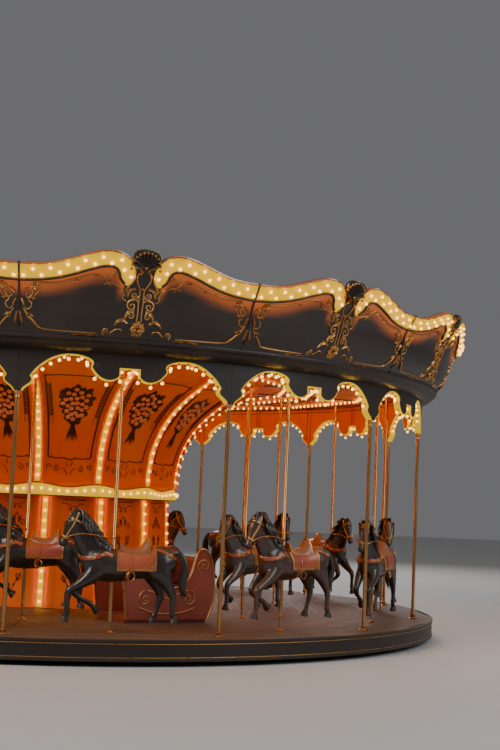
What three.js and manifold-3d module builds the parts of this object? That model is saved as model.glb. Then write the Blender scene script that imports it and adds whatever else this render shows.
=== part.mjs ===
// Fairground carousel with fourteen bays.
// A round deck, a drum and a canopy hang from a rotating hub on one mast. Horses ride up and down on poles.
// Millimetres, +Z up, origin on the ground at the mast's axis. Azimuth 0 is towards -Y and grows towards +X.

import * as THREE from 'three';
import { mergeVertices } from 'three/addons/utils/BufferGeometryUtils.js';
import Module from 'manifold-3d';

const wasm = await Module();
wasm.setup();

// Driving dimensions of the whole machine
const BAYS = 14;
const BAY_ANGLE = (2 * Math.PI) / BAYS;
const FACETS_PER_BAY = 2;
const SEAT_GAP = 0.3;
const POLE_CIRCLE = 5500;
const DECK_TOP = 300;
const DECK_THICKNESS = 60;
const DECK_OUTER = 5750;
const DECK_INNER = 1650;
const CEILING_BOTTOM = 3630;
const CEILING_THICKNESS = 20;
const SWEEP_BOTTOM = 4020;
const SWEEP_HEIGHT = 110;

// Base and mast
const BASE_BEAMS = 7;
const BASE_RADIUS = 4200;
const BASE_HEIGHT = 110;
const BASE_PLATE_RADIUS = 520;
const BASE_PLATE_THICKNESS = 60;
const MAST_RADIUS = 150;
const MAST_FOOT_RADIUS = 350;
const THRUST_FLANGE_RADIUS = 280;
const THRUST_FLANGE_THICKNESS = 120;
const SPIGOT_HEIGHT = 140;

// Deck, its frame and its rim
const FRAME_BOTTOM = 155;
const FRAME_BEAM_WIDTH = 80;
const POLE_RING_HALF_WIDTH = 60;
const RIM_THICKNESS = 40;
const RIM_BOTTOM = 60;
const CORNER_POLE_RADIUS = 24;

// Valance
const VALANCE_THICKNESS = 90;
const VALANCE_INNER = POLE_CIRCLE - VALANCE_THICKNESS / 2;
const VALANCE_OUTER = POLE_CIRCLE + VALANCE_THICKNESS / 2;
const BRACKET_TIP = 2980;
const BRACKET_TIP_HALF_WIDTH = 40;
const BRACKET_SHOULDER = 3110;
const LOBE_BOTTOM = 3150;
const NOTCH_TOP = 3290;
const NOTCH_HALF_WIDTH = 120;
const HUMP_TOP = 3412;

// Crown boards
const CROWN_BOTTOM = 3440;
const CROWN_LIP_RADIUS = 5750;
const CROWN_LIP_HEIGHT = 3570;
const SEAM_TOP = 4306;
const CREST_TOP = 4492;
const CREST_OFFSET = 390;
const FINIAL_TOP = 4545;
const FINIAL_RADIUS = 6190;
const FINIAL_HALF_WIDTH = 145;
const SEAM_HALF_GAP = 1.5;

// Drum, light belt and flare
const DRUM_WALL = 30;
const BELT_BOTTOM = 1840;
const BELT_TOP = 2020;
const BELT_OUTER = 1900;
const BELT_INNER = 1700;
const FLARE_TOP_RADIUS = 3150;
const RIB_HALF_WIDTH = 75;
const RIB_HEIGHT = 35;
const PILASTER_HALF_WIDTH = 195;
const PILASTER_HEIGHT = 40;
const FLARE_TURN = -0.038;
const DRUM_TURN = 0.026;

// Roof
const ROOF_EDGE_RADIUS = 5850;
const ROOF_EDGE_HEIGHT = 4110;
const ROOF_SLOPE = 0.18;
const ROOF_SHEET = 15;
const ROOF_EYE_RADIUS = 250;
const HUB_OUTER = 420;
const HUB_HEIGHT = 180;
const HUB_BORE = 200;
const KING_POST_RADIUS = 330;

// Horses and their poles, which are tubes up to the saddle
const OUTER_ROW_RADIUS = 5100;
const INNER_ROW_RADIUS = 3600;
const INNER_ROW_EVERY = 2;
const HORSE_POLE_RADIUS = 22;
const POLE_BORE_RADIUS = 14.5;
const POLE_BOTTOM = 440;
const POLE_BORE_TOP = 1000;
const POLE_TOP = 3850;
const POLE_GUIDE_RADIUS = 22.5;
const HOOF_HEIGHT = 450;
const HORSE_STAGGER = 20;
const POLE_SIDES = 6;
const CORNER_POLE_SIDES = 8;

// Carriages
const CARRIAGE_BAYS = [1, 9];
const CARRIAGE_RADIUS = 3450;
const CARRIAGE_SHIFT = 0.033;
const CARRIAGE_HALF_WIDTH = 430;
const CARRIAGE_PANEL = 40;

// Finishes
const finishes = {
  steel: { color: 0x3a3026, roughness: 0.6, metalness: 0.3 },
  timber: { color: 0x5a3a22, roughness: 0.7, metalness: 0.0 },
  brass: { color: 0xc07a3c, roughness: 0.35, metalness: 0.8 },
  panel: { color: 0xd8804a, roughness: 0.5, metalness: 0.0 },
  crown: { color: 0x1c120c, roughness: 0.5, metalness: 0.1 },
  belt: { color: 0xf2c14e, roughness: 0.4, metalness: 0.0 },
  canvas: { color: 0x5c1f1a, roughness: 0.85, metalness: 0.0 },
  horse: { color: 0x3b2b22, roughness: 0.45, metalness: 0.0 },
  carriage: { color: 0x8c3c22, roughness: 0.5, metalness: 0.1 },
};

const carousel = new THREE.Group();

// A closed three.js mesh becomes a solid. Its faces are turned outwards where they point in.
function toSolid(geometry) {
  const bare = new THREE.BufferGeometry();
  bare.setAttribute('position', geometry.getAttribute('position'));
  if (geometry.index) bare.setIndex(geometry.index);
  const merged = mergeVertices(bare, 1e-3);
  const points = merged.getAttribute('position').array;
  const faces = [];
  let volume = 0;
  for (let i = 0; i < merged.index.count; i += 3) {
    const [a, b, c] = [0, 1, 2].map((k) => merged.index.getX(i + k));
    if (a === b || b === c || c === a) continue;
    faces.push(a, b, c);
    const [p, q, r] = [a, b, c].map((k) => new THREE.Vector3().fromArray(points, 3 * k));
    volume += p.dot(q.cross(r));
  }
  if (volume < 0) faces.reverse();
  const mesh = new wasm.Mesh({
    numProp: 3,
    vertProperties: Float32Array.from(points),
    triVerts: Uint32Array.from(faces),
  });
  return new wasm.Manifold(mesh);
}

function toGeometry(body) {
  const mesh = body.getMesh();
  const geometry = new THREE.BufferGeometry();
  geometry.setAttribute('position', new THREE.BufferAttribute(mesh.vertProperties, 3));
  geometry.setIndex(new THREE.BufferAttribute(mesh.triVerts, 1));
  return geometry;
}

function joined(geometries) {
  return geometries.map(toSolid).reduce((whole, next) => whole.add(next));
}

function cut(body, geometries) {
  return geometries.map(toSolid).reduce((rest, next) => rest.subtract(next), body);
}

function addPiece(name, body, finish) {
  const geometry = toGeometry(body);
  geometry.computeVertexNormals();
  const mesh = new THREE.Mesh(geometry, new THREE.MeshStandardMaterial(finishes[finish]));
  mesh.name = name;
  carousel.add(mesh);
}

function twoDigits(number) {
  return String(number).padStart(2, '0');
}

// A ring about the mast from a closed section of [radius, height] points.
function ring(section, segments) {
  const outline = section.map(([radius, height]) => new THREE.Vector2(radius, height));
  outline.push(outline[0].clone());
  return new THREE.LatheGeometry(outline, segments).rotateX(Math.PI / 2);
}

function flatRing(inner, outer, bottom, top, segments) {
  return ring([[inner, bottom], [outer, bottom], [outer, top], [inner, top]], segments);
}

// A turned piece from a section that starts and ends on the axis.
function turned(section, segments) {
  const outline = section.map(([radius, height]) => new THREE.Vector2(radius, height));
  return new THREE.LatheGeometry(outline, segments).rotateX(Math.PI / 2);
}

function prism(radius, bottom, top, sides) {
  const length = top - bottom;
  const post = new THREE.CylinderGeometry(radius, radius, length, sides);
  return post.rotateX(Math.PI / 2).translate(0, 0, bottom + length / 2);
}

// Moves a piece made with its outward side along -Y out to a radius, and turns it to an azimuth.
function outTo(geometry, radius, azimuth) {
  return geometry.translate(0, -radius, 0).rotateZ(azimuth);
}

function beam(fromRadius, toRadius, width, bottom, top, azimuth) {
  const length = toRadius - fromRadius;
  const bar = new THREE.BoxGeometry(width, length, top - bottom);
  bar.translate(0, 0, (bottom + top) / 2);
  return outTo(bar, fromRadius + length / 2, azimuth);
}

// A plate whose outline is drawn as seen from outside. It runs from one radius out to another,
// and its width grows with the radius, so neighbouring plates meet on a line through the mast.
function radialPlate(outline, drawnRadius, fromRadius, toRadius, azimuth) {
  const face = new THREE.Shape(outline.map(([x, z]) => new THREE.Vector2(x, z)));
  const depth = toRadius - fromRadius;
  const plate = new THREE.ExtrudeGeometry(face, { depth, bevelEnabled: false, steps: 1 });
  const place = plate.getAttribute('position');
  for (let i = 0; i < place.count; i += 1) {
    const radius = fromRadius + place.getZ(i);
    place.setXYZ(i, (place.getX(i) * radius) / drawnRadius, -radius, place.getY(i));
  }
  return plate.rotateZ(azimuth);
}

function mirrored(half) {
  const other = half.map(([x, z]) => [-x, z]).reverse();
  return [...half, ...other];
}

// A rounded limb: oval rings square to the line through their centres, in the plane of the horse's length.
function limb(stations, sides) {
  const points = [];
  stations.forEach(([x, y, z, wide, deep], i) => {
    const before = stations[Math.max(i - 1, 0)];
    const after = stations[Math.min(i + 1, stations.length - 1)];
    const along = new THREE.Vector2(after[0] - before[0], after[2] - before[2]).normalize();
    for (let k = 0; k < sides; k += 1) {
      const turn = (2 * Math.PI * (k + 0.5)) / sides;
      const rise = deep * Math.sin(turn);
      points.push(x - along.y * rise, y + wide * Math.cos(turn), z + along.x * rise);
    }
  });
  const faces = [];
  const last = (stations.length - 1) * sides;
  for (let i = 0; i < stations.length - 1; i += 1) {
    for (let k = 0; k < sides; k += 1) {
      const a = i * sides + k;
      const b = i * sides + ((k + 1) % sides);
      faces.push(a, b, b + sides, a, b + sides, a + sides);
    }
  }
  for (let k = 1; k < sides - 1; k += 1) {
    faces.push(0, k + 1, k, last, last + k, last + k + 1);
  }
  const geometry = new THREE.BufferGeometry();
  geometry.setAttribute('position', new THREE.Float32BufferAttribute(points, 3));
  geometry.setIndex(faces);
  return geometry;
}

const ringSegments = BAYS * FACETS_PER_BAY;
const cornerAzimuths = Array.from({ length: BAYS }, (_, i) => i * BAY_ANGLE);
const middleAzimuths = cornerAzimuths.map((azimuth) => azimuth + BAY_ANGLE / 2);

// Base frame on the ground: a plate under the mast, seven beams and an outer ring
const baseBeams = Array.from({ length: BASE_BEAMS }, (_, i) => (
  beam(300, BASE_RADIUS - 60, 120, 0, BASE_HEIGHT, (2 * Math.PI * i) / BASE_BEAMS)
));
const basePlate = prism(BASE_PLATE_RADIUS, 0, BASE_PLATE_THICKNESS, BAYS);
const baseRing = flatRing(BASE_RADIUS - 120, BASE_RADIUS, 0, BASE_HEIGHT, BAYS);
const mastSeat = prism(MAST_FOOT_RADIUS + 30, 0, BASE_HEIGHT, BAYS);
addPiece('base_frame', joined([basePlate, baseRing, mastSeat, ...baseBeams]), 'steel');

// Mast with its foot, thrust flange and spigot
const mastFoot = BASE_HEIGHT + SEAT_GAP;
const flangeBottom = SWEEP_BOTTOM - THRUST_FLANGE_THICKNESS;
addPiece('centre_mast', joined([turned([
  [0, mastFoot],
  [MAST_FOOT_RADIUS, mastFoot],
  [MAST_FOOT_RADIUS, mastFoot + 40],
  [MAST_RADIUS, mastFoot + 160],
  [MAST_RADIUS, flangeBottom - 90],
  [THRUST_FLANGE_RADIUS, flangeBottom],
  [THRUST_FLANGE_RADIUS, SWEEP_BOTTOM - SEAT_GAP],
  [MAST_RADIUS, SWEEP_BOTTOM - SEAT_GAP],
  [MAST_RADIUS, SWEEP_BOTTOM + SPIGOT_HEIGHT],
  [0, SWEEP_BOTTOM + SPIGOT_HEIGHT],
], 16)]), 'steel');

// Rotating hub with fourteen sweeps, hangers for the ceiling and a king post for the roof
const kingPostTop = ROOF_EDGE_HEIGHT + (ROOF_EDGE_RADIUS - KING_POST_RADIUS) * ROOF_SLOPE
  - ROOF_SHEET - SEAT_GAP;
const hub = turned([
  [0, SWEEP_BOTTOM + HUB_HEIGHT - 20],
  [HUB_BORE, SWEEP_BOTTOM + HUB_HEIGHT - 20],
  [HUB_BORE, SWEEP_BOTTOM],
  [HUB_OUTER, SWEEP_BOTTOM],
  [HUB_OUTER, SWEEP_BOTTOM + HUB_HEIGHT],
  [KING_POST_RADIUS, SWEEP_BOTTOM + HUB_HEIGHT],
  [KING_POST_RADIUS, kingPostTop],
  [0, kingPostTop],
], BAYS);
const sweepTop = SWEEP_BOTTOM + SWEEP_HEIGHT;
const ceilingTop = CEILING_BOTTOM + CEILING_THICKNESS;
const sweeps = cornerAzimuths.map((azimuth) => (
  beam(HUB_OUTER - 40, POLE_CIRCLE + 40, 80, SWEEP_BOTTOM, sweepTop, azimuth)
));
const hangers = cornerAzimuths.flatMap((azimuth) => [FLARE_TOP_RADIUS, POLE_CIRCLE - 30].map((radius) => (
  beam(radius - 30, radius + 30, 60, ceilingTop + SEAT_GAP, SWEEP_BOTTOM + 20, azimuth)
)));
addPiece('sweeps', joined([hub, ...sweeps, ...hangers]), 'steel');

// Ceiling with a guide hole in which each horse pole slides
const outerRow = middleAzimuths.map((azimuth, i) => ({
  name: `horse_outer_${twoDigits(i + 1)}`,
  azimuth,
  radius: OUTER_ROW_RADIUS,
  rise: i % 2 === 0 ? -HORSE_STAGGER : HORSE_STAGGER,
}));
const innerRow = cornerAzimuths.filter((_, i) => i % INNER_ROW_EVERY === 0).map((azimuth, i) => ({
  name: `horse_inner_${twoDigits(i + 1)}`,
  azimuth,
  radius: INNER_ROW_RADIUS,
  rise: i % 2 === 0 ? HORSE_STAGGER : -HORSE_STAGGER,
}));
const horses = [...outerRow, ...innerRow];
const guideHoles = horses.map(({ radius, azimuth }) => (
  outTo(prism(POLE_GUIDE_RADIUS, CEILING_BOTTOM - 50, ceilingTop + 50, POLE_SIDES), radius, azimuth)
));
const ceilingPlate = flatRing(FLARE_TOP_RADIUS - 150, VALANCE_OUTER, CEILING_BOTTOM, ceilingTop, ringSegments);
addPiece('ceiling', cut(toSolid(ceilingPlate), guideHoles), 'panel');

// Scalloped valance: two humps, a notched middle lobe and a bracket at each corner pole
const halfBay = POLE_CIRCLE * Math.tan(BAY_ANGLE / 2);
const halfScallop = [
  [NOTCH_HALF_WIDTH, NOTCH_TOP],
  [NOTCH_HALF_WIDTH, LOBE_BOTTOM + 50],
  [195, LOBE_BOTTOM],
  [280, LOBE_BOTTOM + 3],
  [427, NOTCH_TOP - 3],
  [412, NOTCH_TOP + 26],
  [430, HUMP_TOP - 52],
  [560, HUMP_TOP - 4],
  [724, HUMP_TOP - 2],
  [913, HUMP_TOP - 64],
  [1123, BRACKET_SHOULDER + 40],
  [1099, BRACKET_SHOULDER],
  [halfBay - BRACKET_TIP_HALF_WIDTH, BRACKET_TIP - 1],
  [halfBay - BRACKET_TIP_HALF_WIDTH, BRACKET_TIP - 200],
];
const scallops = middleAzimuths.map((azimuth) => (
  radialPlate(mirrored(halfScallop), POLE_CIRCLE, VALANCE_INNER - 200, VALANCE_OUTER + 200, azimuth)
));
const valanceRing = flatRing(
  VALANCE_INNER, VALANCE_OUTER, BRACKET_TIP, CEILING_BOTTOM - SEAT_GAP, ringSegments,
);
addPiece('valance', cut(toSolid(valanceRing), scallops), 'panel');

// Crown boards, one a bay, leaning outwards above a cove. Each has a scrolled top and a shell finial.
const crownSection = [
  [VALANCE_OUTER + SEAT_GAP, CROWN_BOTTOM],
  [CROWN_LIP_RADIUS, CROWN_LIP_HEIGHT - 15],
  [CROWN_LIP_RADIUS + 8, CROWN_LIP_HEIGHT + 50],
  [5836, 3716],
  [5921, 3930],
  [5967, 4084],
  [6070, 4230],
  [6222, FINIAL_TOP],
  [6150, FINIAL_TOP + 10],
  [6010, 4250],
  [5905, 4090],
  [5700, 3655],
  [VALANCE_OUTER + SEAT_GAP, 3655],
];
const CROWN_DRAWN_RADIUS = 6100;
const halfBoard = CROWN_DRAWN_RADIUS * Math.tan(BAY_ANGLE / 2) - SEAM_HALF_GAP;
const halfOutline = [
  [0, SEAM_TOP + 90],
  [70, SEAM_TOP + 20],
  [100, SEAM_TOP + 20],
  [165, CREST_TOP - 80],
  [265, CREST_TOP - 18],
  [CREST_OFFSET, CREST_TOP],
  [CREST_OFFSET + 170, CREST_TOP - 32],
  [CREST_OFFSET + 510, SEAM_TOP + 54],
  [CREST_OFFSET + 720, SEAM_TOP + 8],
  [halfBoard, SEAM_TOP],
  [halfBoard, CROWN_BOTTOM - 100],
];
const crownRing = toSolid(ring(crownSection, ringSegments));
middleAzimuths.forEach((azimuth, i) => {
  const outline = mirrored(halfOutline).filter(([x], k) => !(x === 0 && k > 0));
  const blank = toSolid(radialPlate(outline, CROWN_DRAWN_RADIUS, 5400, 6300, azimuth));
  const shell = limb([
    [0, 0, FINIAL_TOP - 225, 60, 30],
    [0, 0, FINIAL_TOP - 120, FINIAL_HALF_WIDTH - 10, 50],
    [0, 0, FINIAL_TOP - 45, FINIAL_HALF_WIDTH, 50],
    [0, 0, FINIAL_TOP, 65, 35],
  ], 6).rotateZ(Math.PI / 2);
  const finial = toSolid(outTo(shell, FINIAL_RADIUS, azimuth));
  addPiece(`crown_board_${twoDigits(i + 1)}`, crownRing.intersect(blank).add(finial), 'crown');
});

// Roof of fourteen gores, with an eye at the king post, and its cap
const roofHeight = (radius) => ROOF_EDGE_HEIGHT + (ROOF_EDGE_RADIUS - radius) * ROOF_SLOPE;
addPiece('canopy', joined([ring([
  [ROOF_EDGE_RADIUS, ROOF_EDGE_HEIGHT - ROOF_SHEET],
  [ROOF_EDGE_RADIUS, ROOF_EDGE_HEIGHT],
  [ROOF_EYE_RADIUS, roofHeight(ROOF_EYE_RADIUS)],
  [ROOF_EYE_RADIUS, roofHeight(ROOF_EYE_RADIUS) - ROOF_SHEET],
], BAYS)]), 'canvas');
const capBottom = roofHeight(ROOF_EYE_RADIUS) + SEAT_GAP;
addPiece('canopy_cap', joined([turned([
  [0, capBottom],
  [ROOF_EYE_RADIUS + 2, capBottom],
  [ROOF_EYE_RADIUS - 10, capBottom + 60],
  [120, capBottom + 110],
  [60, capBottom + 160],
  [90, capBottom + 200],
  [60, capBottom + 235],
  [0, capBottom + 245],
], BAYS)]), 'brass');

// A wall about the mast with a proud rib at each corner azimuth. Its face is a list of
// [radius, height] points from bottom to top, flat from rib to rib.
function ribbedShell(face, wall, ribHalfWidth, ribHeight) {
  const columns = [
    [-ribHalfWidth, 0], [-ribHalfWidth, ribHeight], [ribHalfWidth, ribHeight], [ribHalfWidth, 0],
    [-ribHalfWidth, -wall], [ribHalfWidth, -wall],
  ];
  const [leftFoot, leftTop, rightTop, rightFoot, leftBack, rightBack] = columns.keys();
  const points = [];
  const faces = [];
  const perRow = BAYS * columns.length;
  const at = (row, bay, column) => row * perRow + (bay % BAYS) * columns.length + column;
  const quad = (a, b, c, d) => faces.push(a, b, c, a, c, d);
  face.forEach(([radius, height]) => cornerAzimuths.forEach((azimuth) => columns.forEach(([across, proud]) => {
    const place = new THREE.Vector3(across, -(radius + proud), height);
    place.applyAxisAngle(new THREE.Vector3(0, 0, 1), azimuth);
    points.push(place.x, place.y, place.z);
  })));
  const edges = [[leftFoot, leftTop], [leftTop, rightTop], [rightTop, rightFoot]];
  for (let bay = 0; bay < BAYS; bay += 1) {
    for (let row = 0; row < face.length - 1; row += 1) {
      const strip = (bayA, a, bayB, b) => (
        quad(at(row, bayA, a), at(row, bayB, b), at(row + 1, bayB, b), at(row + 1, bayA, a))
      );
      edges.forEach(([a, b]) => strip(bay, a, bay, b));
      strip(bay, rightFoot, bay + 1, leftFoot);
      strip(bay, rightBack, bay, leftBack);
      strip(bay + 1, leftBack, bay, rightBack);
    }
    [[0, false], [face.length - 1, true]].forEach(([row, upwards]) => {
      const corner = (column) => at(row, bay, column);
      const next = (column) => at(row, bay + 1, column);
      const caps = [
        [corner(leftFoot), corner(leftTop), corner(rightTop), corner(rightFoot)],
        [corner(leftBack), corner(leftFoot), corner(rightFoot), corner(rightBack)],
        [corner(rightBack), corner(rightFoot), next(leftFoot), next(leftBack)],
      ];
      caps.forEach((cap) => quad(...(upwards ? cap : cap.reverse())));
    });
  }
  const geometry = new THREE.BufferGeometry();
  geometry.setAttribute('position', new THREE.Float32BufferAttribute(points, 3));
  geometry.setIndex(faces);
  return geometry;
}

// Lower drum, light belt, and the flared upper drum that opens out like a trumpet to the ceiling
const drumFace = [
  [1870, DECK_TOP + SEAT_GAP],
  [1775, 900],
  [1730, BELT_BOTTOM - SEAT_GAP],
];
const flareFace = [
  [1890, BELT_TOP + SEAT_GAP],
  [1875, 2170],
  [1958, 2577],
  [2190, 2975],
  [2560, 3310],
  [FLARE_TOP_RADIUS - RIB_HEIGHT - 5, CEILING_BOTTOM - SEAT_GAP],
];
const drumShell = ribbedShell(drumFace, DRUM_WALL, PILASTER_HALF_WIDTH, PILASTER_HEIGHT);
const beltRing = flatRing(BELT_INNER, BELT_OUTER, BELT_BOTTOM, BELT_TOP, BAYS);
const flareShell = ribbedShell(flareFace, 2 * DRUM_WALL, RIB_HALF_WIDTH, RIB_HEIGHT);
addPiece('drum_lower', toSolid(drumShell.rotateZ(DRUM_TURN)), 'panel');
addPiece('light_belt', joined([beltRing.rotateZ(FLARE_TURN)]), 'belt');
addPiece('flare', toSolid(flareShell.rotateZ(FLARE_TURN)), 'panel');

// Deck of boards, pierced for the corner poles
const deckBottom = DECK_TOP - DECK_THICKNESS;
const deckPlate = flatRing(DECK_INNER, DECK_OUTER - SEAT_GAP, deckBottom, DECK_TOP, ringSegments);
const poleHoles = cornerAzimuths.map((azimuth) => (
  outTo(prism(CORNER_POLE_RADIUS + 0.5, deckBottom - 50, DECK_TOP + 50, CORNER_POLE_SIDES), POLE_CIRCLE, azimuth)
));
addPiece('deck', cut(toSolid(deckPlate), poleHoles), 'timber');
addPiece('deck_rim', joined([ring([
  [DECK_OUTER, RIM_BOTTOM],
  [DECK_OUTER + RIM_THICKNESS, RIM_BOTTOM],
  [DECK_OUTER + RIM_THICKNESS, DECK_TOP],
  [DECK_OUTER, DECK_TOP],
], ringSegments)]), 'crown');

// Beams under the deck
const frameTop = deckBottom - SEAT_GAP;
const ringSag = (FRAME_BEAM_WIDTH / 2) * Math.tan(BAY_ANGLE / 4);
const frameReach = POLE_CIRCLE - POLE_RING_HALF_WIDTH - ringSag - SEAT_GAP;
const frameBeams = cornerAzimuths.map((azimuth) => (
  beam(DECK_INNER - 10, frameReach, FRAME_BEAM_WIDTH, FRAME_BOTTOM, frameTop, azimuth)
));
const frameRing = flatRing(DECK_INNER - 40, DECK_INNER + 50, FRAME_BOTTOM, frameTop, BAYS);
addPiece('deck_frame', joined([frameRing, ...frameBeams]), 'steel');

// Ring beam under the deck's edge with the fourteen corner poles that rise from it to the valance
const poleRing = flatRing(
  POLE_CIRCLE - POLE_RING_HALF_WIDTH, POLE_CIRCLE + POLE_RING_HALF_WIDTH, FRAME_BOTTOM, frameTop, 2 * BAYS,
);
const cornerPoles = cornerAzimuths.map((azimuth) => (
  outTo(prism(CORNER_POLE_RADIUS, FRAME_BOTTOM + 10, BRACKET_TIP - SEAT_GAP, CORNER_POLE_SIDES), POLE_CIRCLE, azimuth)
));
addPiece('corner_poles', joined([poleRing, ...cornerPoles]), 'brass');

// One galloping horse facing +X, with the pole at the origin and the hooves' lowest point at height 0.
// Each station is [x, y, z, half width, half depth].
function horseGeometries() {
  const bodyToMuzzle = limb([
    [-730, 0, 690, 70, 90],
    [-580, 0, 680, 155, 175],
    [-150, 0, 620, 172, 195],
    [230, 0, 680, 150, 200],
    [370, 0, 960, 76, 150],
    [430, 0, 1180, 55, 110],
    [520, 0, 1080, 55, 90],
    [600, 0, 880, 36, 42],
  ], 6);
  const leadingFore = limb([
    [190, 100, 560, 65, 95],
    [490, 105, 350, 38, 42],
    [505, 105, 0, 42, 46],
  ], 4);
  const foldedFore = limb([
    [190, -100, 560, 65, 95],
    [400, -105, 330, 40, 44],
    [150, -105, 150, 40, 46],
  ], 4);
  const trailingHind = limb([
    [-520, 100, 600, 85, 140],
    [-690, 105, 280, 42, 50],
    [-710, 105, 20, 40, 46],
  ], 4);
  const forwardHind = limb([
    [-520, -100, 600, 85, 140],
    [-560, -105, 260, 42, 50],
    [-520, -105, 10, 40, 46],
  ], 4);
  const tail = limb([
    [-700, 0, 750, 40, 40],
    [-850, 0, 600, 50, 55],
    [-850, 0, 300, 25, 30],
  ], 3);
  return [bodyToMuzzle, leadingFore, foldedFore, trailingHind, forwardHind, tail];
}

const horsePole = prism(HORSE_POLE_RADIUS, POLE_BOTTOM, POLE_TOP, POLE_SIDES);
const poleBore = prism(POLE_BORE_RADIUS, POLE_BOTTOM - 50, POLE_BORE_TOP, POLE_SIDES);
const horseBody = joined(horseGeometries().map((piece) => piece.translate(0, 0, HOOF_HEIGHT)));
const mountedHorse = toGeometry(horseBody.add(toSolid(horsePole)).subtract(toSolid(poleBore)));
horses.forEach(({ name, azimuth, radius, rise }) => {
  const copy = mountedHorse.clone().rotateZ(Math.PI).translate(0, 0, rise);
  addPiece(name, toSolid(outTo(copy, radius, azimuth)), 'horse');
});

// Carriage with a floor, a bench and two scrolled sides, facing the way that the horses do
function carriageGeometries() {
  const floor = DECK_TOP + SEAT_GAP;
  const sideOutline = [
    [-590, 40], [-690, 300], [-670, 650], [-590, 900], [-470, 960], [-400, 880],
    [-300, 560], [-90, 430], [170, 440], [350, 560], [470, 760], [590, 820],
    [700, 760], [715, 600], [640, 420], [590, 40],
  ];
  const outline = new THREE.Shape(sideOutline.map(([x, z]) => new THREE.Vector2(x, z + floor)));
  const sides = [-CARRIAGE_HALF_WIDTH, CARRIAGE_HALF_WIDTH - CARRIAGE_PANEL].map((y) => {
    const panel = new THREE.ExtrudeGeometry(outline, { depth: CARRIAGE_PANEL, bevelEnabled: false });
    return panel.rotateX(Math.PI / 2).translate(0, y + CARRIAGE_PANEL, 0);
  });
  const width = 2 * CARRIAGE_HALF_WIDTH - 10;
  const floorBoard = new THREE.BoxGeometry(1160, width, 80).translate(0, 0, floor + 40);
  const bench = new THREE.BoxGeometry(350, width, 330).translate(-380, 0, floor + 240);
  const back = new THREE.BoxGeometry(60, width, 760).translate(-580, 0, floor + 440);
  return [...sides, floorBoard, bench, back];
}

CARRIAGE_BAYS.forEach((bay, i) => {
  const pieces = carriageGeometries().map((piece) => (
    outTo(piece.rotateZ(Math.PI), CARRIAGE_RADIUS, cornerAzimuths[bay] + CARRIAGE_SHIFT)
  ));
  addPiece(`carriage_${i + 1}`, joined(pieces), 'carriage');
});

export default carousel;
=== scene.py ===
# Looks of a fairground carousel with fourteen bays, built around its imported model.
# Metres, +Z up, the mast on the Z axis. Azimuth 0 is towards -Y and grows towards +X.
import math
import random

import bmesh
import bpy
import numpy as np
from mathutils import Matrix, Vector
from mathutils.bvhtree import BVHTree


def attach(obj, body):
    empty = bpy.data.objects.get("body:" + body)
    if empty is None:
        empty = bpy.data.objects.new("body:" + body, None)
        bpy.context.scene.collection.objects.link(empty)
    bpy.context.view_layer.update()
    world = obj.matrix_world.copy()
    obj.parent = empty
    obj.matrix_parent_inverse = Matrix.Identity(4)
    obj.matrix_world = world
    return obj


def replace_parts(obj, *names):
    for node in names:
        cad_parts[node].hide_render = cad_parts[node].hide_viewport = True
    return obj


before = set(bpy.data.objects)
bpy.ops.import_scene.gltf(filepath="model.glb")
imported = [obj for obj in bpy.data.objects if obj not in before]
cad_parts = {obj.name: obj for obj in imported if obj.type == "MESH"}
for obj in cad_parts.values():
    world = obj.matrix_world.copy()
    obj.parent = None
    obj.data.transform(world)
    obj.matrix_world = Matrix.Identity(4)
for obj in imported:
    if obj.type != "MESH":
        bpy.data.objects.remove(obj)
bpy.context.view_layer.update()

# Camera, floor and lights
# The camera stands about fourteen metres in front of the deck, a little under two metres up, and looks
# slightly upwards. The floor is a pale studio floor. The light is soft, and low enough for the lamps to show.
CAMERA_DISTANCE = 19.965
CAMERA_HEIGHT = 1.774
CAMERA_AZIMUTH = math.radians(4.794)
CAMERA_PAN = math.radians(8.431)
CAMERA_TILT = math.radians(5.947)
CAMERA_ROLL = math.radians(2.456)
LENS = 61.66
SENSOR_WIDTH = 36
FLOOR_REACH = 90
FLOOR_PALE = (0.66, 0.65, 0.63, 1)
STUDIO_GREY = (0.15, 0.15, 0.155, 1)

ahead = Vector((math.sin(CAMERA_PAN), math.cos(CAMERA_PAN), 0))
level = Vector((math.cos(CAMERA_PAN), -math.sin(CAMERA_PAN), 0))
zenith = Vector((0, 0, 1))
forward = ahead * math.cos(CAMERA_TILT) + zenith * math.sin(CAMERA_TILT)
upward = zenith * math.cos(CAMERA_TILT) - ahead * math.sin(CAMERA_TILT)
right = level * math.cos(CAMERA_ROLL) + upward * math.sin(CAMERA_ROLL)
top = upward * math.cos(CAMERA_ROLL) - level * math.sin(CAMERA_ROLL)
camera_data = bpy.data.cameras.new("camera")
camera_data.lens = LENS
camera_data.sensor_width = SENSOR_WIDTH
camera_data.clip_end = 400


def in_scene(name, data):
    """A new object that holds the data, linked to the scene."""
    held = bpy.data.objects.new(name, data)
    bpy.context.scene.collection.objects.link(held)
    return held


camera = in_scene("camera", camera_data)
placing = Matrix((right, top, -forward)).transposed().to_4x4()
placing.translation = Vector((0, -CAMERA_DISTANCE, CAMERA_HEIGHT))
camera.matrix_world = Matrix.Rotation(CAMERA_AZIMUTH, 4, "Z") @ placing
bpy.context.scene.camera = camera


def add_light(name, place, size, power, colour):
    """A round soft light that points at the foot of the mast."""
    light = bpy.data.lights.new(name, "AREA")
    light.shape = "DISK"
    light.size = size
    light.energy = power
    light.color = colour
    lamp = in_scene(name, light)
    lamp.location = place
    lamp.rotation_euler = (-Vector(place)).to_track_quat("-Z", "Y").to_euler()


add_light("key", (-14, -20, 16), 14, 3400, (1.0, 0.97, 0.93))
add_light("fill", (18, -12, 12), 14, 1500, (0.93, 0.96, 1.0))
add_light("back", (4, 22, 14), 14, 1800, (1.0, 0.97, 0.95))
world = bpy.data.worlds.new("studio")
world.use_nodes = True
world.node_tree.nodes["Background"].inputs["Color"].default_value = STUDIO_GREY
bpy.context.scene.world = world

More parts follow.
